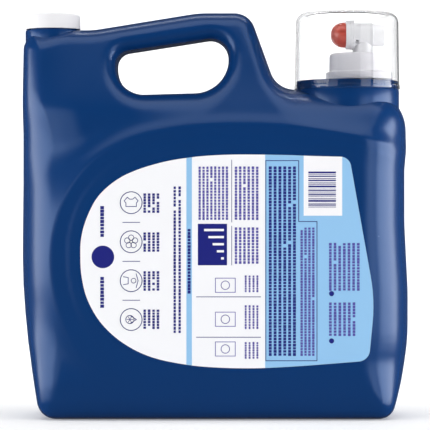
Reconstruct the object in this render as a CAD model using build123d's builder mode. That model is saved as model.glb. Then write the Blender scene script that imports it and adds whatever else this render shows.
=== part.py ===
"""Large press-tap laundry detergent jug, standing on its base.

Frame: millimetres, +Z up, origin on the floor under the middle of the body, label side facing -Y.
The tap's barrel lies along X: the button faces -X and the spout faces +X.
"""
from build123d import *
from math import sqrt
import os

os.makedirs("parts", exist_ok=True)

# ---------------------------------------------------------------- driving dimensions
# Jug body
jug_width = 279.0          # side to side at the widest
jug_depth = 105.0          # front to back
jug_height = 292.4         # floor to the top of the handle
wall = 1.2                 # blown wall
base_recess = 2.4          # push-up inside the standing ring
base_ring_width = 26.0     # side to push-up, at the ends
base_ring_depth = 18.0     # face to push-up, front and back
base_ring_corner = 16.0
base_corner = 24.0         # plan corner radius of the body
heel_radius = 9.0          # rounding where the sides meet the base

# Shoulder, handle and deck
deck_drop = 55.5           # handle top down to the deck that carries the cup
vent_drop = 12.4           # handle top down to the vent neck's seat
handle_half_depth = 17.0   # half the handle's depth at its top
shoulder_half_depth = 45.0 # half the handle block's depth at its foot
foot_drop = 15.5           # deck down to the handle block's foot
handle_rounding = 9.0      # rounding along the outside of the handle
grip_rounding = 7.5        # rounding along the edges of the hand hole
grip_from_side = 68.0      # left side of the jug to the hand hole
grip_to_cup = 86.6         # hand hole to the cup's axis
grip_top_drop = 17.4       # handle top down to the hand hole, tap end
grip_top_fall = 12.4       # how much lower the hole's top is at the vent end
grip_bottom_rise = -4.4    # hand hole's lower edge above the deck

# Cup seat
cup_from_side = 43.5       # right side of the jug to the cup's axis
cup_gap = 49.5             # cup's axis to the foot of the handle
seat_radius = 36.9         # raised seat that the cup's rim grips
shoulder_step = 0.8        # round shoulder beyond the seat
shoulder_ring_depth = 34.0 # how far the round shoulder runs down into the body
seat_height = 6.1
seat_rounding = 1.2
key_width = 3.0            # slot in the seat for the cup's key
key_depth = 1.6
key_angle = 229.0          # place of the slot round the seat, from +X

# Measuring cup
cup_height = 55.2
cup_wall = 1.0
cup_draft = 0.8            # radius lost from rim to closed end
cup_rounding = 7.3
cup_fit = 0.15             # gap between the seat and the cup
cup_rim_gap = 0.3          # gap under the rim
cup_bead = 0.35            # rim bead beyond the wall
cup_bead_height = 2.2

# Vent neck and cap
vent_from_side = 21.2      # left side of the jug to the vent's axis
vent_root_radius = 17.3
vent_neck_wall = 2.1
vent_neck_height = 8.9
thread_pitch = 4.23
thread_height = 1.2        # how far the neck's thread stands out
thread_turns = 1.1
thread_clearance = 0.35
vent_cap_wall = 1.25
vent_cap_overhang = 0.1    # cap's skirt beyond the seat below it
vent_cap_rounding = 1.1
vent_cap_top = 1.4
vent_cap_gap = 0.6         # under the skirt
vent_liner = 0.9
seal_gap = 0.1             # between liner and neck when closed

# Tap neck and closure
tap_neck_offset = 8.7      # tap axis beyond the cup's axis
tap_neck_radius = 18.6
tap_neck_wall = 2.0
tap_neck_height = 17.4
snap_bead = 1.2
snap_bead_rise = 4.0       # snap bead above the seat
closure_fit = 0.4          # closure clear of the snap bead
closure_wall = 1.5
closure_top = 1.6
closure_rounding = 2.5
flange_step = 2.5          # flange beyond the closure
flange_height = 5.4
flange_gap = 1.0           # between the seat and the flange
gasket = 1.0

# Tap barrel, all along X from the tap tower's axis
barrel_rise = 13.6         # barrel axis above the closure
tower_offset = 3.1         # tower axis beyond the closure's axis
tower_radius = 6.7
tower_bore = 4.6
tower_below = 5.0          # how far the tower reaches into the closure
barrel_radius = 8.7
barrel_bore = 7.0
barrel_back = 6.7          # end of the barrel beyond the tower's axis
spout_radius = 8.3
spout_bore = 6.9
spout_length = 8.4
seat_bore = 4.4
seat_thickness = 1.5
divider_thickness = 1.5
divider_setback = 1.0      # divider's wet face behind the lug plate
ring_wall = 0.75
ring_length = 5.3
ring_lip = 0.8
lug_step = 0.15            # plate behind the ring, beyond it
lug_thickness = 1.0
tab_length = 1.3           # release tab under the plate
tab_width = 5.0
guide_setback = 1.2        # spring guide behind the ring's front
guide_wall = 1.2
guide_fit = 0.4
button_radius = 9.3
button_length = 10.7       # beyond the ring
button_wall = 1.2
button_flange = 0.6
button_flange_length = 0.8
button_fit = 0.1
button_travel = 3.4
stem_radius = 1.6
stem_fit = 0.06
plug_clearance = 0.9       # round the plug inside the spout
plug_thickness = 2.0
o_ring_section = 0.7
stem_head_radius = 3.0
stem_head = 0.8
boss_radius = 2.7
boss_length = 4.0
land_radius = 5.2          # flat inside the button for the spring
land_depth = 4.2           # button's tip to that flat
spring_radius = 4.2
spring_wire = 0.4
spring_turns = 5.0
web_thickness = 3.0
web_drop = 11.6            # how far the web reaches below the barrel's axis

# Labels
label_thickness = 0.2
panel_recess = 0.4         # how far the label panel lies below the face
panel_margin = 4.0
label_left = 44.3          # left side of the jug to the label
label_right = 28.5         # right side of the jug to the label
label_bottom = 37.5
label_top_drop = 104.6     # handle top down to the label
label_sweep = 95.2         # left edge of the label to where its top runs straight
label_corner = 7.0

# ---------------------------------------------------------------- places that follow from them
half_width = jug_width / 2
half_depth = jug_depth / 2
shoulder_ring_radius = seat_radius + shoulder_step
cap_inner = vent_root_radius + thread_height + thread_clearance
vent_cap_radius = cap_inner + vent_cap_wall
vent_seat_radius = vent_cap_radius - vent_cap_overhang
vent_bore_radius = vent_root_radius - vent_neck_wall
tap_bore_radius = tap_neck_radius - tap_neck_wall
closure_inner = tap_neck_radius + snap_bead + closure_fit
closure_radius = closure_inner + closure_wall
flange_radius = closure_radius + flange_step
ring_bore = button_radius + button_flange + button_fit
ring_radius = ring_bore + ring_wall
lug_radius = ring_radius + lug_step
plug_radius = spout_bore - plug_clearance
deck = jug_height - deck_drop
vent_seat = jug_height - vent_drop
cup_x = half_width - cup_from_side
vent_x = vent_from_side - half_width
seat_top = deck + seat_height
tap_x = cup_x + tap_neck_offset
tap_neck_top = seat_top + tap_neck_height
closure_bottom = seat_top + flange_gap
closure_ceiling = tap_neck_top + gasket
closure_lid = closure_ceiling + closure_top
axis_z = closure_lid + barrel_rise
tower_x = tap_x + tower_offset
barrel_end = tower_x + barrel_back
spout_end = barrel_end + spout_length
seat_face = barrel_end - 0.5
lug_back = tower_x - tower_radius
lug_front = lug_back - lug_thickness
divider_back = lug_back + divider_setback
divider_front = divider_back - divider_thickness
ring_front = lug_front - ring_length
button_tip = ring_front - button_length
overlap = 1.0              # how deep joined shapes run into each other
panel_face = half_depth - panel_recess
CENTRED_UP = (Align.CENTER, Align.CENTER, Align.MIN)


def rounded_outline(corners, plane=Plane.XZ):
    """A closed outline of (across, up, radius) corners."""
    with BuildSketch(plane) as outline:
        with BuildLine():
            FilletPolyline(*[(across, up) for across, up, _ in corners],
                           radius=[radius for _, _, radius in corners], close=True)
        make_face()
    return outline.sketch


def turned(profile, x, z, along_x=False):
    """A solid of revolution of (radius, height) corners about an upright axis, or one along X."""
    plane = Plane(origin=(x, 0, z), x_dir=(1, 0, 0), z_dir=(0, -1, 0))
    if along_x:
        plane = Plane(origin=(x, 0, z), x_dir=(0, 0, 1), z_dir=(0, 1, 0))
    axis = Axis(plane.origin, plane.y_dir)
    with BuildPart() as solid:
        with BuildSketch(plane):
            Polygon(*profile, align=None)
        revolve(axis=axis)
    return solid.part


def body_block(inset):
    """The main body below the deck, a loft of rounded rectangles, shrunk by inset."""
    floor = base_recess + inset if inset else 0.0
    stations = [  # height, left pull-in, right pull-in, depth pull-in
        (floor, 14.2, 14.0, 4.5),
        (12.0, 11.9, 10.0, 2.0),
        (40.0, 6.5, 0.9, 0.1),
        (75.0, 0.9, 0.0, 0.0),
        (110.0, 0.0, 0.5, 0.0),
        (deck - 76.9, 0.0, 2.4, 0.0),
        (deck - 40.9, 0.0, 0.8, 0.0),
        (deck - 22.9, 0.0, 3.2, 2.0),
        (deck - 8.0, 0.0, 4.6, 10.5),
        (deck - inset, 0.0, 5.8, 18.5),
    ]
    with BuildPart() as block:
        for height, left, right, depth in stations:
            low_x = -half_width + left + inset
            high_x = half_width - right - inset
            with BuildSketch(Plane.XY.offset(height)):
                with Locations(((low_x + high_x) / 2, 0)):
                    RectangleRounded(high_x - low_x, 2 * (half_depth - depth - inset), base_corner - inset)
        loft()
        fillet(block.edges().group_by(Axis.Z)[0], heel_radius - inset)
    return block.part


def handle_block(inset):
    """The shoulder and handle above the body, with the hand hole, shrunk by inset."""
    foot = deck - foot_drop
    root_x = cup_x - cup_gap
    outline = rounded_outline([
        (-half_width + inset, foot, 0),
        (-half_width + inset, vent_seat - 12.0, 9),
        (-half_width + 6.5, vent_seat - inset, 9),
        (vent_x + 29.9, vent_seat - inset, 55),
        (cup_x - 108.3, jug_height - inset, 80),
        (cup_x - 71.4 - 0.6 * inset, jug_height - inset, 15.5 - 0.8 * inset),
        (root_x - inset, deck - 6.9, 0),
        (root_x - inset, foot, 0),
    ])
    grip_left = -half_width + grip_from_side - inset
    grip_right = cup_x - grip_to_cup + inset
    grip_top = jug_height - grip_top_drop + inset
    grip_bottom = deck + grip_bottom_rise - inset
    grip = rounded_outline([
        (grip_left, grip_top - grip_top_fall, 10),
        (grip_right + 0.8, grip_top, 13),
        (grip_right - 0.8, grip_bottom + 1.1, 16),
        (grip_left, grip_bottom - 1.1, 16),
    ])
    with BuildSketch() as plan:
        RectangleRounded(2 * (half_width - inset), 2 * (half_depth - inset), base_corner - inset)
    with BuildPart() as block:
        add(extrude(outline, half_depth, both=True, mode=Mode.PRIVATE))
        with BuildSketch(Plane.YZ):
            Polygon((-shoulder_half_depth + inset, foot), (-handle_half_depth + inset, jug_height - inset),
                    (handle_half_depth - inset, jug_height - inset), (shoulder_half_depth - inset, foot),
                    align=None)
        extrude(amount=jug_width, both=True, mode=Mode.INTERSECT)
        add(extrude(plan.sketch, jug_height, mode=Mode.PRIVATE), mode=Mode.INTERSECT)
        slopes = [face for face in block.faces().filter_by(GeomType.PLANE)
                  if 0.5 < abs(face.normal_at().Y) < 0.99]
        rims = [edge for face in slopes for edge in face.edges() if (edge @ 0.5).Z > foot + 1]
        fillet(rims, handle_rounding - inset)
        add(extrude(grip, half_depth, both=True, mode=Mode.PRIVATE), mode=Mode.SUBTRACT)
        grip_rims = [edge for face in block.faces().filter_by(GeomType.PLANE)
                     if 0.5 < abs(face.normal_at().Y) < 0.99
                     for wire in face.inner_wires() for edge in wire.edges()]
        fillet(grip_rims, grip_rounding - inset)
    return block.part


def helix_ridge(radius, start_z, turns, profile, x, start_angle=0.0):
    """A thread ridge: a (outward, up) profile swept up a right-handed helix about an upright axis."""
    path = Edge.make_helix(thread_pitch, turns * thread_pitch, radius)
    path = path.rotate(Axis.Z, start_angle).moved(Location((x, 0, start_z)))
    outward = (path @ 0 - Vector(x, 0, start_z)).normalized()
    with BuildPart() as ridge:
        with BuildSketch(Plane(origin=path @ 0, x_dir=outward, z_dir=path % 0)):
            Polygon(*profile, align=None)
        sweep(path=path, is_frenet=True)
    return ridge.part


def label_outline(grow):
    """The label's outline on the front plane, grown by the given margin."""
    left = -half_width + label_left - grow
    right = half_width - label_right + grow
    bottom = label_bottom - grow
    top = jug_height - label_top_drop + grow
    waist = (bottom + top) / 2
    middle = left + label_sweep + grow
    with BuildSketch(Plane.XZ) as outline:
        with BuildLine():
            crown = Spline((middle, top), (left + 25.2, top - 17.2), (left, waist),
                           tangents=((-1, 0), (0, -1)))
            belly = Spline(crown @ 1, (left + 29.8, bottom + 17.8), (middle, bottom),
                           tangents=((0, -1), (1, 0)))
            foot = Line(belly @ 1, (right - 4.0, bottom + 4.0))
            side = ThreePointArc(foot @ 1, (right - 3.6, waist + 2.0), (right - 16.5, top - 0.6))
            Line(side @ 1, crown @ 0)
        make_face()
        fillet(outline.vertices().sort_by(Axis.X)[-2:], label_corner)
    return outline.sketch


def slab(outline, near, far):
    """The outline made solid between two distances in front of the jug's mid-plane."""
    with BuildPart() as solid:
        add(extrude(outline.moved(Location((0, -near, 0))), far - near, mode=Mode.PRIVATE))
    return solid.part


# ---------------------------------------------------------------- jug
panel = slab(label_outline(panel_margin), panel_face, half_depth + overlap)
panel_backing = slab(label_outline(panel_margin + wall), panel_face - wall, half_depth)

with BuildPart() as cavity:
    add(body_block(wall))
    add(handle_block(wall))
    with Locations((cup_x, 0, deck - shoulder_ring_depth)):
        Cylinder(shoulder_ring_radius - wall, shoulder_ring_depth - wall, align=CENTRED_UP)
    with Locations((cup_x, 0, deck - shoulder_ring_depth)):
        Cylinder(seat_radius - 2 * wall, seat_height + shoulder_ring_depth - wall, align=CENTRED_UP)
    add(panel_backing, mode=Mode.SUBTRACT)
    add(mirror(panel_backing, about=Plane.XZ, mode=Mode.PRIVATE), mode=Mode.SUBTRACT)

thread_low = vent_seat + vent_cap_gap + 2.0
neck_ridge = helix_ridge(vent_root_radius, thread_low, thread_turns,
                         [(-0.5, -1.3), (thread_height, -0.5), (thread_height, 0.5), (-0.5, 1.3)], vent_x)

with BuildPart() as bottle:
    add(body_block(0))
    add(handle_block(0))
    with BuildSketch(Plane.XY):
        RectangleRounded(jug_width - 2 * base_ring_width, jug_depth - 2 * base_ring_depth, base_ring_corner)
    extrude(amount=base_recess, taper=30, mode=Mode.SUBTRACT)
    with Locations((cup_x, 0, deck - shoulder_ring_depth)):
        Cylinder(shoulder_ring_radius, shoulder_ring_depth, align=CENTRED_UP)
    add(turned([(0, -overlap), (seat_radius, -overlap), (seat_radius, seat_height - seat_rounding),
                (seat_radius - seat_rounding, seat_height), (0, seat_height)], cup_x, deck))
    with Locations((vent_x, 0, vent_seat - 16)):
        Cylinder(vent_seat_radius, 16, align=CENTRED_UP)
    add(panel, mode=Mode.SUBTRACT)
    add(mirror(panel, about=Plane.XZ, mode=Mode.PRIVATE), mode=Mode.SUBTRACT)
    add(cavity.part, mode=Mode.SUBTRACT)
    with Locations((vent_x, 0, vent_seat - overlap)):
        Cylinder(vent_root_radius, vent_neck_height + overlap, align=CENTRED_UP)
    add(neck_ridge)
    with Locations((vent_x, 0, vent_seat - 3 * wall)):
        Cylinder(vent_bore_radius, vent_neck_height + 3 * wall + overlap, align=CENTRED_UP, mode=Mode.SUBTRACT)
    add(turned([(0, -wall), (tap_neck_radius, -wall), (tap_neck_radius, snap_bead_rise - snap_bead),
                (tap_neck_radius + snap_bead, snap_bead_rise), (tap_neck_radius + snap_bead, snap_bead_rise + 0.6),
                (tap_neck_radius, snap_bead_rise + 0.6 + snap_bead), (tap_neck_radius, tap_neck_height),
                (0, tap_neck_height)], tap_x, seat_top))
    with Locations((tap_x, 0, seat_top - 3 * wall)):
        Cylinder(tap_bore_radius, tap_neck_height + 3 * wall + overlap, align=CENTRED_UP, mode=Mode.SUBTRACT)
    with BuildSketch(Plane.XY.offset(deck)):
        with Locations((cup_x, 0)):
            with PolarLocations(seat_radius, 1, start_angle=key_angle):
                Rectangle(2 * key_depth, key_width)
    extrude(amount=seat_height + overlap, mode=Mode.SUBTRACT)
bottle.part.label = "bottle"
export_step(bottle.part, "parts/bottle.step")

with BuildPart() as back_label:
    add(slab(label_outline(0), panel_face, panel_face + label_thickness))
back_label.part.label = "back_label"
export_step(back_label.part, "parts/back_label.step")

with BuildPart() as front_label:
    add(mirror(back_label.part, about=Plane.XZ, mode=Mode.PRIVATE))
front_label.part.label = "front_label"
export_step(front_label.part, "parts/front_label.step")

# ---------------------------------------------------------------- vent cap
vent_neck_top = vent_seat + vent_neck_height
vent_ceiling = vent_neck_top + seal_gap + vent_liner
vent_bottom = vent_seat + vent_cap_gap
cap_ridge_reach = cap_inner - vent_root_radius - thread_clearance
cap_ridge = helix_ridge(cap_inner, thread_low, thread_turns - 0.2,
                        [(0.3, -0.8), (-cap_ridge_reach, -0.35), (-cap_ridge_reach, 0.35), (0.3, 0.8)],
                        vent_x, start_angle=180.0)

with BuildPart() as vent_cap:
    add(turned([(0, vent_ceiling - vent_bottom), (cap_inner, vent_ceiling - vent_bottom), (cap_inner, 0),
                (vent_cap_radius, 0), (vent_cap_radius, vent_ceiling + vent_cap_top - vent_bottom),
                (0, vent_ceiling + vent_cap_top - vent_bottom)], vent_x, vent_bottom))
    fillet(vent_cap.edges().group_by(Axis.Z)[-1], vent_cap_rounding)
    add(cap_ridge)
vent_cap.part.label = "vent_cap"
export_step(vent_cap.part, "parts/vent_cap.step")

with BuildPart() as vent_cap_liner:
    with Locations((vent_x, 0, vent_neck_top + seal_gap)):
        Cylinder(cap_inner - thread_clearance, vent_liner, align=CENTRED_UP)
vent_cap_liner.part.label = "vent_cap_liner"
export_step(vent_cap_liner.part, "parts/vent_cap_liner.step")

# ---------------------------------------------------------------- tap closure
closure_height = closure_lid - closure_bottom
with BuildPart() as tap_closure:
    add(turned([(0, closure_ceiling - closure_bottom), (closure_inner, closure_ceiling - closure_bottom),
                (closure_inner, 2.4), (closure_inner - 0.8, 1.6), (closure_inner - 0.8, 0.6), (closure_inner, 0),
                (flange_radius, 0), (flange_radius, flange_height - 0.5), (flange_radius - 0.5, flange_height),
                (closure_radius, flange_height), (closure_radius, closure_height), (0, closure_height)],
               tap_x, closure_bottom))
    fillet(tap_closure.edges().group_by(Axis.Z)[-1], closure_rounding)
    with Locations((tower_x, 0, closure_ceiling - overlap)):
        Cylinder(tower_radius, closure_top + 2 * overlap, align=CENTRED_UP, mode=Mode.SUBTRACT)
tap_closure.part.label = "tap_closure"
export_step(tap_closure.part, "parts/tap_closure.step")

with BuildPart() as tap_gasket:
    with BuildSketch(Plane.XY.offset(tap_neck_top)):
        with Locations((tap_x, 0)):
            Circle(closure_inner - 0.2)
            Circle(tap_bore_radius - 2.0, mode=Mode.SUBTRACT)
    extrude(amount=gasket)
tap_gasket.part.label = "tap_gasket"
export_step(tap_gasket.part, "parts/tap_gasket.step")

# ---------------------------------------------------------------- tap housing
guide_radius = button_radius - button_wall - guide_fit
guide_front = ring_front + guide_setback
rod_hole = stem_radius + stem_fit
housing_profile = [(0, guide_front), (guide_radius, guide_front), (guide_radius, lug_front),
                   (lug_radius, lug_front), (lug_radius, lug_back), (barrel_radius, lug_back),
                   (barrel_radius, barrel_end), (spout_radius, barrel_end), (spout_radius, spout_end),
                   (0, spout_end)]
bore_profile = [(0, guide_front - overlap), (guide_radius - guide_wall, guide_front - overlap),
                (guide_radius - guide_wall, divider_front), (rod_hole, divider_front),
                (rod_hole, divider_back), (barrel_bore, divider_back),
                (barrel_bore, seat_face - seat_thickness), (seat_bore, seat_face - seat_thickness),
                (seat_bore, seat_face), (spout_bore, seat_face), (spout_bore, spout_end + overlap),
                (0, spout_end + overlap)]
tower_foot = closure_ceiling - tower_below
with BuildPart() as tap_housing:
    with Locations((tower_x, 0, tower_foot)):
        Cylinder(tower_radius, axis_z - tower_foot, align=CENTRED_UP)
    add(turned(housing_profile, 0, axis_z, along_x=True))
    with BuildSketch(Plane.XZ):
        with Locations((lug_back, axis_z - web_drop)):
            Rectangle(tower_x - lug_back, web_drop, align=(Align.MIN, Align.MIN))
    extrude(amount=web_thickness / 2, both=True)
    with BuildSketch(Plane.XZ):
        with Locations((lug_front, axis_z - lug_radius - tab_length)):
            Rectangle(lug_thickness, lug_radius + tab_length - barrel_radius, align=(Align.MIN, Align.MIN))
    extrude(amount=tab_width / 2, both=True)
    with Locations((tower_x, 0, tower_foot - overlap)):
        Cylinder(tower_bore, axis_z - tower_foot + overlap, align=CENTRED_UP, mode=Mode.SUBTRACT)
    add(turned(bore_profile, 0, axis_z, along_x=True), mode=Mode.SUBTRACT)
tap_housing.part.label = "tap_housing"
export_step(tap_housing.part, "parts/tap_housing.step")

# ---------------------------------------------------------------- button group
lip_bore = button_radius + button_fit
with BuildPart() as button_ring:
    add(turned([(lip_bore, ring_front), (ring_radius - 0.4, ring_front), (ring_radius, ring_front + 0.4),
                (ring_radius, lug_front), (ring_bore, lug_front), (ring_bore, ring_front + ring_lip),
                (lip_bore, ring_front + ring_lip)], 0, axis_z, along_x=True))
button_ring.part.label = "button_ring"
export_step(button_ring.part, "parts/button_ring.step")

flange_front = ring_front + ring_lip + button_fit
flange_back = flange_front + button_flange_length
button_inner = button_radius - button_wall
axial = Plane(origin=(0, 0, axis_z), x_dir=(0, 0, 1), z_dir=(0, 1, 0))
sin45 = sqrt(0.5)
land_top = button_tip + land_depth
land_start = button_tip + 1.7 * button_wall   # inside the shell's thickness


def dome(radius, length):
    """A half-ellipsoid dome on the barrel's axis, carried on as a cylinder to the button's flange."""
    with BuildPart() as solid:
        with BuildSketch(axial):
            with BuildLine():
                Spline((0, ring_front - length), (radius * sin45, ring_front - length * sin45),
                       (radius, ring_front), tangents=((1, 0), (0, 1)))
                Polyline((radius, ring_front), (radius, flange_back), (0, flange_back), (0, ring_front - length))
            make_face()
        revolve(axis=Axis((0, 0, axis_z), (1, 0, 0)))
    return solid.part


with BuildPart() as tap_button:
    add(dome(button_radius, button_length))
    with BuildSketch(Plane(origin=(flange_front, 0, axis_z), z_dir=(1, 0, 0))):
        Circle(button_radius + button_flange)
    extrude(amount=button_flange_length)
    add(dome(button_inner, button_length - button_wall), mode=Mode.SUBTRACT)
    with BuildSketch(Plane(origin=(land_start, 0, axis_z), z_dir=(1, 0, 0))):
        Circle(land_radius)
    extrude(amount=land_top - land_start)
    with BuildSketch(Plane(origin=(land_start, 0, axis_z), z_dir=(1, 0, 0))):
        Circle(boss_radius)
    extrude(amount=land_top + boss_length - land_start)
    with BuildSketch(Plane(origin=(land_top, 0, axis_z), z_dir=(1, 0, 0))):
        Circle(stem_radius)
    extrude(amount=boss_length + overlap, mode=Mode.SUBTRACT)
tap_button.part.label = "tap_button"
export_step(tap_button.part, "parts/tap_button.step")

plug_front = seat_face + seal_gap
plug_back = plug_front + plug_thickness
with BuildPart() as valve_stem:
    add(turned([(0, land_top), (stem_radius, land_top), (stem_radius, plug_back),
                (stem_head_radius, plug_back), (stem_head_radius, plug_back + stem_head),
                (0, plug_back + stem_head)], 0, axis_z, along_x=True))
valve_stem.part.label = "valve_stem"
export_step(valve_stem.part, "parts/valve_stem.step")

with BuildPart() as valve_plug:
    add(turned([(stem_radius, plug_front), (plug_radius - 0.5, plug_front), (plug_radius, plug_front + 0.5),
                (plug_radius, plug_back), (stem_radius, plug_back)], 0, axis_z, along_x=True))
valve_plug.part.label = "valve_plug"
export_step(valve_plug.part, "parts/valve_plug.step")

with BuildPart() as stem_o_ring:
    with BuildSketch(axial):
        with Locations((rod_hole + o_ring_section, divider_back + o_ring_section)):
            Circle(o_ring_section)
    revolve(axis=Axis((0, 0, axis_z), (1, 0, 0)))
stem_o_ring.part.label = "stem_o_ring"
export_step(stem_o_ring.part, "parts/stem_o_ring.step")

spring_start = land_top + spring_wire + seal_gap
spring_room = divider_front - seal_gap - spring_wire - spring_start
coil = Edge.make_helix(spring_room / spring_turns, spring_room, spring_radius)
coil = coil.rotate(Axis.Y, 90).moved(Location((spring_start, 0, axis_z)))
with BuildPart() as return_spring:
    with BuildSketch(Plane(origin=coil @ 0, z_dir=coil % 0)):
        Circle(spring_wire)
    sweep(path=coil, is_frenet=True)
return_spring.part.label = "return_spring"
export_step(return_spring.part, "parts/return_spring.step")

# ---------------------------------------------------------------- measuring cup
cup_inner = seat_radius + cup_fit
cup_outer = cup_inner + cup_wall
with BuildPart() as cup_hollow:
    with Locations((cup_x, 0, deck + cup_rim_gap)):
        Cone(cup_inner, cup_inner - cup_draft, cup_height - cup_wall, align=CENTRED_UP)
    fillet(cup_hollow.edges().group_by(Axis.Z)[-1], cup_rounding - cup_wall)

with BuildPart() as measuring_cup:
    with Locations((cup_x, 0, deck + cup_rim_gap)):
        Cone(cup_outer, cup_outer - cup_draft, cup_height, align=CENTRED_UP)
    fillet(measuring_cup.edges().group_by(Axis.Z)[-1], cup_rounding)
    with Locations((cup_x, 0, deck + cup_rim_gap)):
        Cylinder(cup_outer + cup_bead, cup_bead_height, align=CENTRED_UP)
    add(cup_hollow.part, mode=Mode.SUBTRACT)
    with BuildSketch(Plane.XY.offset(deck + cup_rim_gap)):
        with Locations((cup_x, 0)):
            with PolarLocations(cup_inner, 1, start_angle=key_angle):
                Rectangle(2 * (key_depth - cup_fit), key_width - 4 * cup_fit)
    extrude(amount=seat_height - 0.5)
measuring_cup.part.label = "measuring_cup"
export_step(measuring_cup.part, "parts/measuring_cup.step")
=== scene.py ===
"""Looks of a large press-tap laundry detergent jug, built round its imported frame."""
import logging
import math
from dataclasses import dataclass, field
from enum import Enum
from typing import Sequence

import bmesh
import bpy
import numpy as np
from mathutils import Matrix, Vector


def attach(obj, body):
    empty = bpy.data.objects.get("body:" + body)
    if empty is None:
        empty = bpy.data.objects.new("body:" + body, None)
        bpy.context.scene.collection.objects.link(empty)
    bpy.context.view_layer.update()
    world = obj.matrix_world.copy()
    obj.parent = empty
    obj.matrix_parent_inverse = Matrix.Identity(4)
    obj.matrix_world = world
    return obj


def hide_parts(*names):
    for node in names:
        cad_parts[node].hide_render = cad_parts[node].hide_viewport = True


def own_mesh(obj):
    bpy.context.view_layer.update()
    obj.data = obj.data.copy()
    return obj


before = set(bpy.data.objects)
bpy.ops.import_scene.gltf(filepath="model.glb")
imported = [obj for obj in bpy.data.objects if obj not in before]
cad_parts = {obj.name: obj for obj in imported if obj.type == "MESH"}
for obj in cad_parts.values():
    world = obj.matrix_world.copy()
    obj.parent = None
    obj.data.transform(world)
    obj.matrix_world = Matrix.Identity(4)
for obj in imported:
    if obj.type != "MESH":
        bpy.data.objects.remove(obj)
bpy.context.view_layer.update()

MM = 0.001
LOG = logging.getLogger("jug")

Corner = tuple[float, float, float]     # across, up, corner radius
Pair = tuple[float, float]


# ---------------------------------------------------------------- outlines and fields
def rounded_path(corners: Sequence[Corner], closed: bool = True, turn: float = 3.0) -> np.ndarray:
    """Points of a path whose corners are rounded.

    Args:
        corners: across, up and corner radius of each corner, in order.
        closed: whether the last corner joins the first.
        turn: degrees between the points of an arc.

    Returns:
        An array of (across, up) points.
    """
    points: list[np.ndarray] = []
    count = len(corners)
    for i, (x, z, radius) in enumerate(corners):
        here = np.array((x, z))
        if radius <= 0 or (not closed and i in (0, count - 1)):
            points.append(here)
            continue
        before = np.array(corners[i - 1][:2]) - here
        after = np.array(corners[(i + 1) % count][:2]) - here
        before, after = before / np.linalg.norm(before), after / np.linalg.norm(after)
        half = math.acos(max(-1.0, min(1.0, float(before @ after)))) / 2
        middle = (before + after) / np.linalg.norm(before + after)
        centre = here + middle * radius / math.sin(half)
        reach = radius / math.tan(half)
        first, last = here + before * reach - centre, here + after * reach - centre
        start = math.atan2(first[1], first[0])
        sweep = (math.atan2(last[1], last[0]) - start + math.pi) % (2 * math.pi) - math.pi
        steps = max(2, int(abs(math.degrees(sweep)) / turn) + 1)
        for k in range(steps + 1):
            angle = start + sweep * k / steps
            points.append(centre + radius * np.array((math.cos(angle), math.sin(angle))))
    return np.array(points)


def smooth_path(points: Sequence[Pair], step: float = 2.0) -> np.ndarray:
    """A smooth open curve through the given points, sampled about every step."""
    given = np.array([points[0], *points, points[-1]], float)
    given[0] = 2 * given[1] - given[2]
    given[-1] = 2 * given[-2] - given[-3]
    made = []
    for a, b, c, d in zip(given, given[1:], given[2:], given[3:]):
        count = max(2, int(np.linalg.norm(c - b) / step))
        t = np.linspace(0, 1, count, endpoint=False)[:, None]
        made.append(0.5 * (2 * b + (c - a) * t + (2 * a - 5 * b + 4 * c - d) * t ** 2
                           + (3 * b - a - 3 * c + d) * t ** 3))
    made.append(given[-2][None])
    return np.concatenate(made)


def signed_distance(points: np.ndarray, loop: np.ndarray) -> tuple[np.ndarray, np.ndarray]:
    """Distance of plane points to a closed loop, positive outside it.

    Args:
        points: an array of (across, up) points.
        loop: the corners of the loop.

    Returns:
        The distances and the directions in which they grow.
    """
    start, end = loop, np.roll(loop, -1, axis=0)
    run = end - start
    length2 = (run ** 2).sum(1)
    distance = np.empty(len(points))
    away = np.empty((len(points), 2))
    for low in range(0, len(points), 4000):
        p = points[low:low + 4000, None]
        rel = p - start
        t = np.clip((rel * run).sum(2) / length2, 0, 1)
        gap = rel - t[..., None] * run
        d2 = (gap ** 2).sum(2)
        nearest = d2.argmin(1)
        rows = np.arange(len(p))
        d = np.sqrt(d2[rows, nearest])
        crossing = (start[:, 1] > p[..., 1]) != (end[:, 1] > p[..., 1])
        rise = np.where(run[:, 1] == 0, 1e-12, run[:, 1])
        left = p[..., 0] < start[:, 0] + (p[..., 1] - start[:, 1]) / rise * run[:, 0]
        inside = (crossing & left).sum(1) % 2 == 1
        sign = np.where(inside, -1.0, 1.0)
        distance[low:low + 4000] = sign * d
        away[low:low + 4000] = gap[rows, nearest] * (sign / np.maximum(d, 1e-9))[:, None]
    return distance, away


def ramp(value: np.ndarray, low: float, high: float) -> np.ndarray:
    """A smooth step from 0 at low to 1 at high."""
    t = np.clip((value - low) / (high - low), 0, 1)
    return t * t * (3 - 2 * t)


def soft_min(a: np.ndarray, b: np.ndarray, blend: float) -> np.ndarray:
    """The smaller of two fields, rounded where they meet."""
    h = np.clip(blend - np.abs(a - b), 0, None)
    return np.minimum(a, b) - h * h / (4 * blend)


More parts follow.
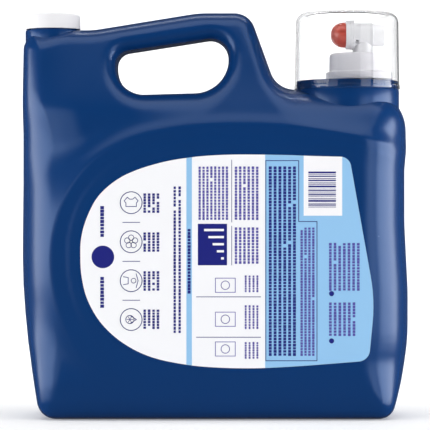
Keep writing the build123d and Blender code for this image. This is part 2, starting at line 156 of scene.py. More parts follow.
def surface_net(values: np.ndarray) -> tuple[np.ndarray, np.ndarray]:
    """The surface where a grid of values changes sign, as one quad for each crossed grid edge.

    Args:
        values: a 3-D array, negative inside the solid.

    Returns:
        Vertex places in grid steps, and quads that face out of the solid.
    """
    inside = values < 0
    corners = [inside[i:i - 1 or None, j:j - 1 or None, k:k - 1 or None]
               for i in (0, 1) for j in (0, 1) for k in (0, 1)]
    total = np.sum(corners, axis=0)
    mixed = (total > 0) & (total < 8)
    index = -np.ones(mixed.shape, int)
    cells = np.argwhere(mixed)
    index[mixed] = np.arange(len(cells))
    place = np.zeros((len(cells), 3))
    hits = np.zeros(len(cells))
    for axis in range(3):
        others = [a for a in range(3) if a != axis]
        for u in (0, 1):
            for v in (0, 1):
                shift = np.zeros(3, int)
                shift[others[0]], shift[others[1]] = u, v
                low = cells + shift
                high = low.copy()
                high[:, axis] += 1
                a, b = values[tuple(low.T)], values[tuple(high.T)]
                cut = (a < 0) != (b < 0)
                t = np.where(cut, a / np.where(cut, a - b, 1), 0)
                point = low.astype(float)
                point[:, axis] += t
                place[cut] += point[cut]
                hits += cut
    place /= hits[:, None]
    quads = []
    for axis in range(3):
        first, second = (axis + 1) % 3, (axis + 2) % 3
        low = np.moveaxis(inside, axis, 0)[:-1]
        high = np.moveaxis(inside, axis, 0)[1:]
        for leaving in (True, False):
            edges = np.argwhere((low & ~high) if leaving else (~low & high))
            grid = np.empty_like(edges)
            rest = [a for a in range(3) if a != axis]
            grid[:, axis], grid[:, rest[0]], grid[:, rest[1]] = edges.T
            ring = []
            for u, v in ((0, 0), (-1, 0), (-1, -1), (0, -1)):
                cell = grid.copy()
                cell[:, first] += u
                cell[:, second] += v
                ring.append(index[tuple(cell.T)])
            quad = np.stack(ring, 1)
            quads.append(quad if leaving else quad[:, ::-1])
    return place, np.concatenate(quads)


# ---------------------------------------------------------------- meshes
def mesh_object(name: str, vertices: np.ndarray, faces: Sequence[Sequence[int]],
                sharp: float = 35.0) -> bpy.types.Object:
    """A linked mesh object, smooth but for edges sharper than the given angle.

    Args:
        name: the piece's name.
        vertices: places in millimetres.
        faces: corner indices of each face.
        sharp: degrees beyond which an edge stays sharp.

    Returns:
        The new object.
    """
    mesh = bpy.data.meshes.new(name)
    mesh.from_pydata((np.asarray(vertices, float) * MM).tolist(), [],
                     faces.tolist() if isinstance(faces, np.ndarray) else list(faces))
    mesh.validate()
    mesh.shade_smooth()
    mesh.set_sharp_from_angle(angle=math.radians(sharp))
    obj = bpy.data.objects.new(name, mesh)
    bpy.context.scene.collection.objects.link(obj)
    return obj


def lathe(name: str, profile: np.ndarray, centre: Sequence[float], along_x: bool = False,
          segments: int = 96, sharp: float = 35.0) -> bpy.types.Object:
    """A solid of revolution.

    Args:
        name: the piece's name.
        profile: (radius, along) points of a closed loop; points on the axis become poles.
        centre: millimetre place of the axis's zero.
        along_x: whether the axis runs along X instead of Z.
        segments: steps round the axis.
        sharp: degrees beyond which an edge stays sharp.

    Returns:
        The new object, facing outwards.
    """
    vertices: list[tuple[float, float, float]] = []
    rings: list[list[int]] = []
    for radius, along in profile:
        if radius < 1e-6:
            rings.append([len(vertices)] * segments)
            vertices.append((0, 0, along))
            continue
        rings.append(list(range(len(vertices), len(vertices) + segments)))
        for k in range(segments):
            angle = 2 * math.pi * k / segments
            vertices.append((radius * math.cos(angle), radius * math.sin(angle), along))
    faces = []
    count = len(rings)
    for i in range(count):
        a, b = rings[i], rings[(i + 1) % count]
        if a[0] == a[1] and b[0] == b[1]:
            continue
        for k in range(segments):
            n = (k + 1) % segments
            face = [a[k], a[n], b[n], b[k]]
            faces.append(list(dict.fromkeys(face)))
    placed = np.array(vertices)
    if along_x:
        placed = placed[:, [2, 1, 0]] * (1, -1, 1)
    obj = mesh_object(name, placed + np.array(centre), faces, sharp)
    face_outwards(obj)
    return obj


def face_outwards(obj: bpy.types.Object) -> None:
    """Merges doubled points and turns every face outwards."""
    shape = bmesh.new()
    shape.from_mesh(obj.data)
    bmesh.ops.remove_doubles(shape, verts=shape.verts, dist=1e-7)
    bmesh.ops.recalc_face_normals(shape, faces=shape.faces)
    shape.to_mesh(obj.data)
    shape.free()


def combine(obj: bpy.types.Object, other: bpy.types.Object, way: str, sharp: float = 35.0) -> None:
    """Joins or cuts one solid with another, which is used up.

    Args:
        obj: the solid that changes.
        other: the solid that is added or taken away.
        way: UNION or DIFFERENCE.
        sharp: degrees beyond which an edge stays sharp.
    """
    modifier = obj.modifiers.new("combine", "BOOLEAN")
    modifier.operation = way
    modifier.solver = "MANIFOLD"
    modifier.object = other
    made = bpy.data.meshes.new_from_object(obj.evaluated_get(bpy.context.evaluated_depsgraph_get()))
    obj.modifiers.clear()
    old = obj.data
    obj.data = made
    made.shade_smooth()
    made.set_sharp_from_angle(angle=math.radians(sharp))
    bpy.data.meshes.remove(old)
    bpy.data.meshes.remove(other.data)


def prism(name: str, outline: np.ndarray, near: float, far: float, sharp: float = 35.0) -> bpy.types.Object:
    """A closed prism of a front-plane outline between two depths, in millimetres."""
    count = len(outline)
    front = [(x, near, z) for x, z in outline]
    back = [(x, far, z) for x, z in outline]
    faces = [list(range(count)), list(range(2 * count - 1, count - 1, -1))]
    faces += [[i, count + i, count + (i + 1) % count, (i + 1) % count] for i in range(count)]
    obj = mesh_object(name, np.array(front + back), faces, sharp)
    face_outwards(obj)
    return obj


# ---------------------------------------------------------------- the jug
@dataclass
class JugForm:
    """The blown jug's outer surface as one field, in millimetres.

    The silhouette is rounded over into a flat back and front; above the ridge the faces slope
    in towards the handle, and the shoulder under the tap falls away to a round neck.
    """
    half_width: float = 139.5
    height: float = 292.4
    face_depth: float = 52.1
    deck: float = 236.9
    vent_seat: float = 280.0
    ridge_slope: float = 0.55
    shoulder_drop: float = 6.6
    handle_slope: float = 0.40
    slope_start: float = 221.0
    side_start: float = 80.0
    side_end: float = 142.0
    side_fall: float = 14.0
    foot_taper: float = 2.4
    foot_height: float = 42.0
    crease: float = 4.0
    side_rounding: float = 24.0
    tap_side_rounding: float = 36.0
    heel_rounding: float = 13.0
    handle_rounding: float = 11.0
    vent_rounding: float = 7.0
    face_reach: float = 1.3
    tap_face_reach: float = 2.375
    step_height: float = 0.5
    step_width: float = 1.6
    outline: np.ndarray = field(init=False)
    grip: np.ndarray = field(init=False)
    ridge: np.ndarray = field(init=False)
    step: np.ndarray = field(init=False)

    def __post_init__(self) -> None:
        """Lays out the silhouette, the hand hole, the ridge and the step inside it."""
        w, top, deck, seat = self.half_width, self.height, self.deck, self.vent_seat
        self.outline = rounded_path([
            (-125.3, 0, 14), (-w, 74.6, 430), (-w, seat - 12, 9), (-w + 5.5, seat - 0.4, 8),
            (-88.4, seat - 0.4, 55), (-12.3, top, 80), (24.6, top, 15.5), (44.1, deck, 17),
            (137.6, deck - 0.4, 30), (138.6, 194, 12), (137.1, 178.5, 30), (137.1, 139, 200),
            (w, 91, 200), (w, 42.9, 150), (125.5, 0, 12)])
        self.grip = rounded_path([
            (-71.5, 262.6, 10), (10.2, 275.0, 13), (8.6, 233.6, 25), (-71.5, 231.4, 20)])
        self.ridge = np.concatenate([smooth_path([
            (129.8, 194), (116, 198), (96.7, 202.2), (67.7, 207.0), (38.5, 209.8), (0, 210), (-32, 206.8),
            (-60.5, 199.8), (-84.5, 186.2), (-100, 169.7), (-110.7, 150), (-116.6, 126.5),
            (-117, 104.8), (-111.5, 76.5), (-101, 53.6), (-84, 33)]),
            np.array([(-60, 15), (-60, -60), (200, -60), (200, 150), (150, 186)])])
        self.step = np.concatenate([smooth_path([
            (126, 187.5), (113, 191.4), (97, 194.6), (76, 197.3), (38, 200.4), (0, 200.6), (-36, 196.2),
            (-62, 187.2), (-79.7, 175.5), (-93.7, 159.3), (-101.3, 142), (-104.8, 120), (-103.4, 100),
            (-98.5, 81), (-87, 58), (-70, 38)]),
            np.array([(-50, 20), (-50, -60), (200, -60), (200, 150), (150, 180)])])

    def distances(self, points: np.ndarray) -> tuple[list[np.ndarray], list[np.ndarray]]:
        """Distances from front-plane points to the silhouette, the ridge and the step, with directions."""
        edge, edge_way = signed_distance(points, self.outline)
        hole, hole_way = signed_distance(points, self.grip)
        from_hole = -hole > edge
        edge = np.where(from_hole, -hole, edge)
        edge_way = np.where(from_hole[:, None], -hole_way, edge_way)
        ridge, ridge_way = signed_distance(points, self.ridge)
        step, step_way = signed_distance(points, self.step)
        return [edge, ridge, step], [edge_way, ridge_way, step_way]

    def half_depth(self, x: np.ndarray, z: np.ndarray, ridge: np.ndarray, step: np.ndarray) -> np.ndarray:
        """Half the jug's depth at a place, before its edges are rounded over."""
        slope = self.ridge_slope * 0.5 * (ridge + np.sqrt(ridge ** 2 + 0.8))
        above = self.shoulder_drop + self.handle_slope * 0.5 * (
            z - self.slope_start + np.sqrt((z - self.slope_start) ** 2 + 30))
        start = self.side_start + 18 * ramp(z, 150, 240)
        share = (0.45 + 0.35 * ramp(z, 80, 180)) * (1 - ramp(z, 190, 285))
        side = self.side_fall * ramp((-x - start) / (self.side_end - start), 0, 1) * share
        drop = soft_min(slope, above + side, self.crease) * ramp(z, 22, 85)
        stepped = self.step_height * ramp(step, -self.step_width / 2, self.step_width / 2)
        stepped = stepped * ramp(z, 45, 95)
        taper = self.foot_taper * np.clip((self.foot_height - z) / self.foot_height, 0, 1) ** 2
        return self.face_depth - drop - stepped - taper

    def roundings(self, x: np.ndarray, z: np.ndarray, depth: np.ndarray) -> tuple[np.ndarray, np.ndarray]:
        """How far the edge rounding reaches in from the silhouette, and in from the face."""
        tap_side = ramp(x, 20, 85)
        widest = self.side_rounding + (self.tap_side_rounding - self.side_rounding) * tap_side
        across = self.heel_rounding + (widest - self.heel_rounding) * ramp(z, 0, 45)
        handle = self.handle_rounding + self.vent_rounding * ramp(-x, 105, 132)
        upper = handle + (self.side_rounding - handle) * tap_side
        across = across + (upper - across) * ramp(z, 198, 236)
        deeper = self.face_reach + (self.tap_face_reach - self.face_reach) * tap_side * ramp(z, 190, 216)
        inward = np.minimum(across * deeper, depth * (0.9 + 0.05 * tap_side))
        return across, inward

    def value(self, x: np.ndarray, y: np.ndarray, z: np.ndarray, edge: np.ndarray, ridge: np.ndarray,
              step: np.ndarray, inset: float) -> np.ndarray:
        """The field: negative inside the jug, shrunk by inset."""
        depth = self.half_depth(x, z, ridge, step)
        across, inward = self.roundings(x, z, depth)
        a = np.clip(across + edge, 0, None) / across
        c = np.clip(np.abs(y) - (depth - inward), 0, None) / inward
        reach = np.minimum(across, inward)
        deep = np.maximum(edge, np.abs(y) - depth)
        rounded = (np.sqrt(a * a + c * c) - 1) * reach
        return np.where((a == 0) & (c == 0), np.minimum(deep, -0.5 * reach), rounded) + inset

    def surface(self, spacing: float, inset: float = 0.0, rounds: int = 4) -> tuple[np.ndarray, np.ndarray]:
        """Polygonises the field and draws the points onto its surface.

        Args:
            spacing: grid step in millimetres.
            inset: how far inside the outer surface.
            rounds: Newton steps.

        Returns:
            Vertices in millimetres and quads.
        """
        margin = 2.5 * spacing
        xs = np.arange(-self.half_width - margin, self.half_width + margin, spacing)
        ys = np.arange(-self.face_depth - margin, self.face_depth + margin, spacing)
        zs = np.arange(-margin, self.height + margin, spacing)
        gx, gz = np.meshgrid(xs, zs, indexing="ij")
        (edge, ridge, step), _ = self.distances(np.stack([gx.ravel(), gz.ravel()], 1))
        shape = gx.shape
        flat = [v.reshape(shape)[:, None, :] for v in (gx.ravel(), gz.ravel(), edge, ridge, step)]
        values = self.value(flat[0], ys[None, :, None], flat[1], flat[2], flat[3], flat[4], inset)
        place, quads = surface_net(values)
        points = place * spacing + np.array((xs[0], ys[0], zs[0]))
        for _ in range(rounds):
            points = points - self.newton_step(points, inset)
        return points, quads

    def newton_step(self, points: np.ndarray, inset: float) -> np.ndarray:
        """The move that takes each point towards the surface."""
        x, y, z = points.T
        (edge, ridge, step), ways = self.distances(points[:, [0, 2]])
        here = self.value(x, y, z, edge, ridge, step, inset)
        nudge = 1e-3

        def grow(*moved: np.ndarray) -> np.ndarray:
            """How fast the field grows when its arguments move."""
            return (self.value(*moved, inset) - here) / nudge

        gradient = np.zeros_like(points)
        gradient[:, 0] = grow(x + nudge, y, z, edge, ridge, step)
        gradient[:, 1] = grow(x, y + nudge, z, edge, ridge, step)
        gradient[:, 2] = grow(x, y, z + nudge, edge, ridge, step)
        rates = (grow(x, y, z, edge + nudge, ridge, step), grow(x, y, z, edge, ridge + nudge, step),
                 grow(x, y, z, edge, ridge, step + nudge))
        for rate, way in zip(rates, ways):
            gradient[:, 0] += rate * way[:, 0]
            gradient[:, 2] += rate * way[:, 1]
        size2 = np.maximum((gradient ** 2).sum(1), 0.05)
        move = gradient * (here / size2)[:, None]
        length = np.linalg.norm(move, axis=1, keepdims=True)
        return move * np.minimum(1, 0.8 / np.maximum(length, 1e-9))


# ---------------------------------------------------------------- finishes
class Ink(Enum):
    """Colours of the label stock and what is printed on it."""
    STOCK = (0.93, 0.92, 0.94)
    NAVY = (0.006, 0.010, 0.20)
    SKY = (0.29, 0.55, 0.83)
    ROYAL = (0.012, 0.05, 0.36)
    FINE = (0.085, 0.07, 0.36)
    SKETCH = (0.12, 0.10, 0.42)


@dataclass(frozen=True)
class Finish:
    """A procedural plastic, film, rubber or metal whose colour and gloss vary a little over the piece.

    Sizes of the grain are in millimetres of the object's own space.
    """
    name: str
    colour: tuple[float, float, float]
    roughness: float = 0.35
    specular: float = 0.5
    mottle: float = 0.06
    mottle_size: float = 40.0
    rough_spread: float = 0.05
    grain: float = 0.0
    grain_size: float = 0.6
    metallic: float = 0.0
    gloss_tint: tuple[float, float, float] = (1.0, 1.0, 1.0)
    glow: float = 0.0

    def build(self) -> bpy.types.Material:
        """Makes the material, once for each name.

        Returns:
            The node material.
        """
        known = bpy.data.materials.get(self.name)
        if known:
            return known
        material = bpy.data.materials.new(self.name)
        material.use_nodes = True
        nodes, links = material.node_tree.nodes, material.node_tree.links
        shader = nodes["Principled BSDF"]
        place = nodes.new("ShaderNodeTexCoord").outputs["Object"]
        clouds = self.noise(nodes, links, place, self.mottle_size, 3.0)
        shade = nodes.new("ShaderNodeMix")
        shade.data_type = "RGBA"
        dark = tuple(c * (1 - self.mottle) for c in self.colour)
        light = tuple(min(1.0, c * (1 + self.mottle)) for c in self.colour)
        shade.inputs["A"].default_value = (*dark, 1)
        shade.inputs["B"].default_value = (*light, 1)
        links.new(clouds, shade.inputs["Factor"])
        links.new(shade.outputs["Result"], shader.inputs["Base Color"])
        spread = nodes.new("ShaderNodeMapRange")
        spread.inputs["To Min"].default_value = max(0.02, self.roughness - self.rough_spread)
        spread.inputs["To Max"].default_value = min(1.0, self.roughness + self.rough_spread)
        links.new(self.noise(nodes, links, place, self.mottle_size / 7, 4.0), spread.inputs["Value"])
        links.new(spread.outputs["Result"], shader.inputs["Roughness"])
        shader.inputs["Specular IOR Level"].default_value = self.specular
        shader.inputs["Specular Tint"].default_value = (*self.gloss_tint, 1)
        shader.inputs["Metallic"].default_value = self.metallic
        shader.inputs["Emission Color"].default_value = (*self.colour, 1)
        shader.inputs["Emission Strength"].default_value = self.glow
        if self.grain:
            bump = nodes.new("ShaderNodeBump")
            bump.inputs["Strength"].default_value = self.grain
            bump.inputs["Distance"].default_value = 0.1 * MM
            links.new(self.noise(nodes, links, place, self.grain_size, 2.0), bump.inputs["Height"])
            links.new(bump.outputs["Normal"], shader.inputs["Normal"])
        return material

    @staticmethod
    def noise(nodes: bpy.types.Nodes, links: bpy.types.NodeLinks, place: bpy.types.NodeSocket,
              size: float, detail: float) -> bpy.types.NodeSocket:
        """A noise of the given feature size in millimetres."""
        noise = nodes.new("ShaderNodeTexNoise")
        noise.inputs["Scale"].default_value = 1000.0 / size
        noise.inputs["Detail"].default_value = detail
        links.new(place, noise.inputs["Vector"])
        return noise.outputs["Fac"]

    def dress(self, obj: bpy.types.Object) -> bpy.types.Object:
        """Makes this the piece's only material."""
        obj.data.materials.clear()
        obj.data.materials.append(self.build())
        return obj


JUG_BLUE = Finish("blown_blue", (0.0024, 0.034, 0.142), roughness=0.26, rough_spread=0.025, specular=0.48,
                  gloss_tint=(0.48, 0.66, 1.0), grain=0.12, grain_size=1.6,
                  mottle=0.05, mottle_size=60)
# Painted shade: the white cap plastic is darkened to a mid grey to hold it down under the strong left lamp.
CAP_WHITE_PAINTED_SHADE = Finish("cap_white", (0.275, 0.27, 0.275), specular=0.25, roughness=0.42, grain=0.06, mottle=0.02)
# Painted light: the closure's own pale grey is raised to near white to make up for the light it loses inside
# the cup.
CLOSURE_GREY_PAINTED_LIGHT = Finish("closure_grey", (0.82, 0.81, 0.85), specular=0.3, roughness=0.36, mottle=0.03)
# Painted shade: the white tap plastic is darkened to hold the spout and barrel down where the right lamp
# falls strongly.
TAP_WHITE_PAINTED_SHADE = Finish("tap_white", (0.345, 0.34, 0.355), specular=0.3, roughness=0.34, mottle=0.02)
BUTTON_RED = Finish("button_red", (0.118, 0.013, 0.010), specular=0.16, roughness=0.36, mottle=0.05,
                    mottle_size=12)
SEAL_RUBBER = Finish("seal_rubber", (0.06, 0.06, 0.065), roughness=0.7, specular=0.3)
LINER_FOAM = Finish("liner_foam", (0.75, 0.75, 0.73), roughness=0.85, specular=0.2, grain=0.4, grain_size=0.4)
SPRING_STEEL = Finish("spring_steel", (0.55, 0.55, 0.57), roughness=0.25, metallic=1.0)
LABEL_STOCK = Finish("label_stock", Ink.STOCK.value, roughness=0.32, mottle=0.01, mottle_size=90)
FLOOR_PALE = Finish("floor_pale", (0.86, 0.86, 0.86), roughness=0.8, specular=0.1, mottle=0.01,
                    mottle_size=800, glow=0.22)


# ---------------------------------------------------------------- studio
@dataclass(frozen=True)
class SoftBox:
    """A rectangular studio light, in metres and watts, aimed at a point."""
    name: str
    place: tuple[float, float, float]
    target: tuple[float, float, float]
    width: float
    height: float
    power: float

    def build(self) -> None:
        """Adds the light."""
        light = bpy.data.lights.new(self.name, "AREA")
        light.shape = "RECTANGLE"
        light.size, light.size_y, light.energy = self.width, self.height, self.power
        obj = bpy.data.objects.new(self.name, light)
        aim = Vector(self.target) - Vector(self.place)
        obj.matrix_world = Matrix.Translation(self.place) @ aim.to_track_quat("-Z", "Y").to_matrix().to_4x4()
        bpy.context.scene.collection.objects.link(obj)


@dataclass(frozen=True)
class Studio:
    """The camera, the pale floor that sweeps up behind, and the soft lights."""
    camera_place: tuple[float, float, float] = (-0.0003, -1.68, 0.1456)
    lens: float = 193.0
    sensor: float = 36.0
    fill_colour: tuple[float, float, float] = (0.80, 0.84, 0.92)
    fill_strength: float = 0.08
    floor_half: float = 1.2
    floor_front: float = -1.0
    floor_back: float = 3.0
    floor_bend: float = 1.0
    floor_drop: float = 0.05
    boxes: tuple[SoftBox, ...] = (
        SoftBox("light_right", (1.3, -0.2, 0.25), (0.0, -0.2, 0.25), 1.2, 0.7, 17.0),
        SoftBox("light_left", (-1.3, -0.45, 0.25), (0.0, -0.45, 0.25), 1.9, 0.7, 19.0),
        SoftBox("light_strip", (0.98, -1.13, 0.3), (0.0, 0.0, 0.2), 0.6, 0.7, 3.4),
        SoftBox("light_low_left", (-0.8, -1.27, 0.3), (0.0, 0.0, 0.2), 0.6, 0.7, 1.7),
        SoftBox("light_top", (0.0, -0.40, 1.6), (0.0, 0.0, 0.15), 2.6, 1.1, 17.5),
        SoftBox("light_wall", (0.0, 0.9, 1.8), (0.0, 3.0, 0.2), 2.0, 0.6, 58.0),
    )

    def build(self) -> None:
        """Adds the camera, floor, world and lights."""
        bpy.context.scene.view_settings.view_transform = "Standard"
        self.camera()
        self.sweep()
        self.world()
        for box in self.boxes:
            box.build()

    def camera(self) -> None:
        """A level camera in front of the label."""
        camera = bpy.data.cameras.new("camera")
        camera.lens, camera.sensor_width = self.lens, self.sensor
        camera.clip_start, camera.clip_end = 0.01, 50.0
        eye = bpy.data.objects.new("camera", camera)
        eye.matrix_world = (Matrix.Translation(self.camera_place)
                            @ Matrix.Rotation(math.radians(90), 4, "X"))
        bpy.context.scene.collection.objects.link(eye)
        bpy.context.scene.camera = eye

    def world(self) -> None:
        """A dim fill for every surface, with white behind for what is seen directly or through the cup."""
        world = bpy.data.worlds.new("studio")
        world.use_nodes = True
        nodes, links = world.node_tree.nodes, world.node_tree.links
        fill = nodes["Background"]
        fill.inputs["Color"].default_value = (*self.fill_colour, 1)
        fill.inputs["Strength"].default_value = self.fill_strength
        seen = nodes.new("ShaderNodeBackground")
        seen.inputs["Color"].default_value = (1, 1, 1, 1)
        seen.inputs["Strength"].default_value = 1.0
        path, mix = nodes.new("ShaderNodeLightPath"), nodes.new("ShaderNodeMixShader")
        last = path.outputs["Diffuse Depth"]
        for operation, other in (("ADD", "Glossy Depth"), ("LESS_THAN", ""),
                                 ("MULTIPLY", "Is Transmission Ray"), ("MAXIMUM", "Is Camera Ray")):
            step = nodes.new("ShaderNodeMath")
            step.operation = operation
            links.new(last, step.inputs[0])
            if other:
                links.new(path.outputs[other], step.inputs[1])
            last = step.outputs[0]
        links.new(last, mix.inputs["Fac"])
        links.new(fill.outputs[0], mix.inputs[1])
        links.new(seen.outputs[0], mix.inputs[2])
        links.new(mix.outputs[0], nodes["World Output"].inputs["Surface"])
        bpy.context.scene.world = world

    def sweep(self) -> None:
        """A pale floor that curves up into a wall behind the object."""
        half, front, back, bend = (v / MM for v in (self.floor_half, self.floor_front, self.floor_back,
                                                    self.floor_bend))
        turns = [math.radians(a) for a in range(0, 91, 6)]
        line = [(front, 0.0)] + [(back - bend + bend * math.sin(a), bend - bend * math.cos(a)) for a in turns]
        line.append((back, back))
        vertices = [(x, y, z - self.floor_drop) for y, z in line for x in (-half, half)]
        floor = mesh_object("floor", np.array(vertices),
                            [(2 * i, 2 * i + 1, 2 * i + 3, 2 * i + 2) for i in range(len(line) - 1)])
        FLOOR_PALE.dress(floor)
        floor.visible_glossy = False


# ---------------------------------------------------------------- jug piece
@dataclass
class Jug:
    """The blown jug: its field surface, the cup seat, both necks, and the hollow inside."""
    form: JugForm = field(default_factory=JugForm)
    spacing: float = 1.9
    inner_spacing: float = 4.6
    wall: float = 1.3
    seat_x: float = 96.0
    seat_top: float = 243.0
    seat_radius: float = 36.9
    seat_foot: float = 236.9
    seat_rounding: float = 1.2
    shoulder_radius: float = 37.7
    tap_x: float = 104.7
    tap_radius: float = 18.6
    tap_bore: float = 16.6
    tap_top: float = 260.4
    vent_x: float = -118.3
    vent_seat: float = 280.0
    vent_ring: float = 20.0
    vent_radius: float = 17.3
    vent_bore: float = 15.2
    vent_top: float = 288.9

    def build(self) -> bpy.types.Object:
        """Makes the jug, puts it in place of the frame's bottle and lets it ride on the body.

        Returns:
            The jug's object.
        """
        jug = mesh_object("jug", *self.form.surface(self.spacing), sharp=60)
        wide, narrow, soft = self.shoulder_radius, self.seat_radius, self.seat_rounding
        seat = lathe("seat", np.array([
            (0, 215), (wide - 6, 215), (wide, 221), (wide, self.seat_foot - 1.0),
            (wide - 0.4, self.seat_foot - 0.3), (narrow, self.seat_foot), (narrow, self.seat_top - soft),
            (narrow - 0.35, self.seat_top - 0.35), (narrow - soft, self.seat_top),
            (0, self.seat_top)]), (self.seat_x, 0, 0), segments=160)
        combine(jug, seat, "UNION")
        neck = lathe("neck", np.array([
            (0, 232), (self.tap_radius, 232), (self.tap_radius, self.seat_top + 2.8),
            (self.tap_radius + 1.2, self.seat_top + 4.0), (self.tap_radius + 1.2, self.seat_top + 4.6),
            (self.tap_radius, self.seat_top + 5.8), (self.tap_radius, self.tap_top), (0, self.tap_top)]),
            (self.tap_x, 0, 0))
        combine(jug, neck, "UNION")
        ring = lathe("ring", np.array([
            (0, 255), (self.vent_ring - 5, 255), (self.vent_ring, 262),
            (self.vent_ring, self.vent_seat - 1.0),
            (self.vent_ring - 0.3, self.vent_seat - 0.3), (self.vent_ring - 1.0, self.vent_seat),
            (self.vent_radius, self.vent_seat), (self.vent_radius, self.vent_top), (0, self.vent_top)]),
            (self.vent_x, 0, 0))
        combine(jug, ring, "UNION")
        cavity = mesh_object("cavity", *self.form.surface(self.inner_spacing, self.wall, rounds=2))
        for name, radius, low, high, x in (("bore_a", self.tap_bore, 225, self.tap_top + 1, self.tap_x),
                                           ("bore_b", self.vent_bore, 262, self.vent_top + 1, self.vent_x)):
            bore = lathe(name, np.array([(0, low), (radius, low), (radius, high), (0, high)]), (x, 0, 0))
            combine(cavity, bore, "UNION")
        combine(jug, cavity, "DIFFERENCE")
        JUG_BLUE.dress(jug)
        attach(jug, "jug")
        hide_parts("bottle")
        return jug


# ---------------------------------------------------------------- geometry nodes
class Coil:
    """A wire or ridge wound round an upright axis by a node group."""
    NAME = "coil"

    @classmethod
    def group(cls) -> bpy.types.NodeTree:
        """The node group, made once."""
        known = bpy.data.node_groups.get(cls.NAME)
        if known:
            return known
        tree = new_group(cls.NAME, (("Turns", "NodeSocketFloat"), ("Radius", "NodeSocketFloat"),
                                    ("Height", "NodeSocketFloat"), ("Wire", "NodeSocketFloat"),
                                    ("Place", "NodeSocketVector"), ("Turn", "NodeSocketVector"),
                                    ("Material", "NodeSocketMaterial")))
        nodes, link = tree.nodes, tree.links.new
        given = nodes["Group Input"].outputs
        spiral = nodes.new("GeometryNodeCurveSpiral")
        spiral.inputs["Resolution"].default_value = 40
        link(given["Turns"], spiral.inputs["Rotations"])
        link(given["Radius"], spiral.inputs["Start Radius"])
        link(given["Radius"], spiral.inputs["End Radius"])
        link(given["Height"], spiral.inputs["Height"])
        section = nodes.new("GeometryNodeCurvePrimitiveCircle")
        section.inputs["Resolution"].default_value = 10
        link(given["Wire"], section.inputs["Radius"])
        solid = nodes.new("GeometryNodeCurveToMesh")
        solid.inputs["Fill Caps"].default_value = True
        link(spiral.outputs["Curve"], solid.inputs["Curve"])
        link(section.outputs["Curve"], solid.inputs["Profile Curve"])
        move = nodes.new("GeometryNodeTransform")
        link(solid.outputs["Mesh"], move.inputs["Geometry"])
        link(given["Place"], move.inputs["Translation"])
        link(given["Turn"], move.inputs["Rotation"])
        finish_group(tree, move.outputs["Geometry"])
        return tree

    @classmethod
    def build(cls, name: str, turns: float, radius: float, height: float, wire: float,
              place: Sequence[float], turn: Sequence[float], finish: Finish) -> bpy.types.Object:
        """Winds a coil, its sizes in millimetres and its turn in degrees."""
        obj = run_group(name, cls.group(), {
            "Turns": turns, "Radius": radius * MM, "Height": height * MM, "Wire": wire * MM,
            "Place": [v * MM for v in place], "Turn": [math.radians(v) for v in turn],
            "Material": finish.build()})
        obj.data.shade_smooth()
        face_outwards(obj)
        return obj


class WordRows:
    """Rows of small bars that read as lines of small print, laid out by a node group."""
    NAME = "word_rows"

    @classmethod
    def group(cls) -> bpy.types.NodeTree:
        """The node group, made once. Rows stand side by side along X and run along Y."""
        known = bpy.data.node_groups.get(cls.NAME)
        if known:
            return known
        tree = new_group(cls.NAME, (("Width", "NodeSocketFloat"), ("Length", "NodeSocketFloat"),
                                    ("Rows", "NodeSocketInt"), ("Words", "NodeSocketInt"),
                                    ("Thickness", "NodeSocketFloat"), ("Word", "NodeSocketFloat"),
                                    ("Depth", "NodeSocketFloat"), ("Seed", "NodeSocketInt"),
                                    ("Material", "NodeSocketMaterial")))
        nodes, link = tree.nodes, tree.links.new
        given = nodes["Group Input"].outputs
        grid = nodes.new("GeometryNodeMeshGrid")
        for name, socket in (("Width", "Size X"), ("Length", "Size Y"), ("Rows", "Vertices X"),
                             ("Words", "Vertices Y")):
            link(given[name], grid.inputs[socket])
        size = nodes.new("ShaderNodeCombineXYZ")
        for name, socket in (("Thickness", "X"), ("Word", "Y"), ("Depth", "Z")):
            link(given[name], size.inputs[socket])
        bar = nodes.new("GeometryNodeMeshCube")
        link(size.outputs[0], bar.inputs["Size"])
        shrink = nodes.new("FunctionNodeRandomValue")
        shrink.data_type = "FLOAT_VECTOR"
        shrink.inputs[0].default_value = (0.86, 0.7, 1.0)
        shrink.inputs[1].default_value = (1.0, 0.95, 1.0)
        link(given["Seed"], shrink.inputs["Seed"])
        keep = nodes.new("FunctionNodeRandomValue")
        keep.data_type = "BOOLEAN"
        keep.inputs["Probability"].default_value = 0.98
        link(given["Seed"], keep.inputs["Seed"])
        spread = nodes.new("GeometryNodeInstanceOnPoints")
        link(grid.outputs["Mesh"], spread.inputs["Points"])
        link(bar.outputs["Mesh"], spread.inputs["Instance"])
        link(keep.outputs[3], spread.inputs["Selection"])
        link(shrink.outputs[0], spread.inputs["Scale"])
        finish_group(tree, spread.outputs["Instances"])
        return tree


def new_group(name: str, sockets: Sequence[tuple[str, str]]) -> bpy.types.NodeTree:
    """An empty geometry node group with named inputs and one geometry output."""
    tree = bpy.data.node_groups.new(name, "GeometryNodeTree")
    for label, kind in sockets:
        tree.interface.new_socket(name=label, in_out="INPUT", socket_type=kind)
    tree.interface.new_socket(name="Geometry", in_out="OUTPUT", socket_type="NodeSocketGeometry")
    tree.nodes.new("NodeGroupInput")
    tree.nodes.new("NodeGroupOutput")
    return tree


def finish_group(tree: bpy.types.NodeTree, made: bpy.types.NodeSocket) -> None:
    """Makes the instances real, gives them the group's material and sends them out."""
    real = tree.nodes.new("GeometryNodeRealizeInstances")
    paint = tree.nodes.new("GeometryNodeSetMaterial")
    tree.links.new(made, real.inputs["Geometry"])
    tree.links.new(real.outputs["Geometry"], paint.inputs["Geometry"])
    tree.links.new(tree.nodes["Group Input"].outputs["Material"], paint.inputs["Material"])
    tree.links.new(paint.outputs["Geometry"], tree.nodes["Group Output"].inputs["Geometry"])


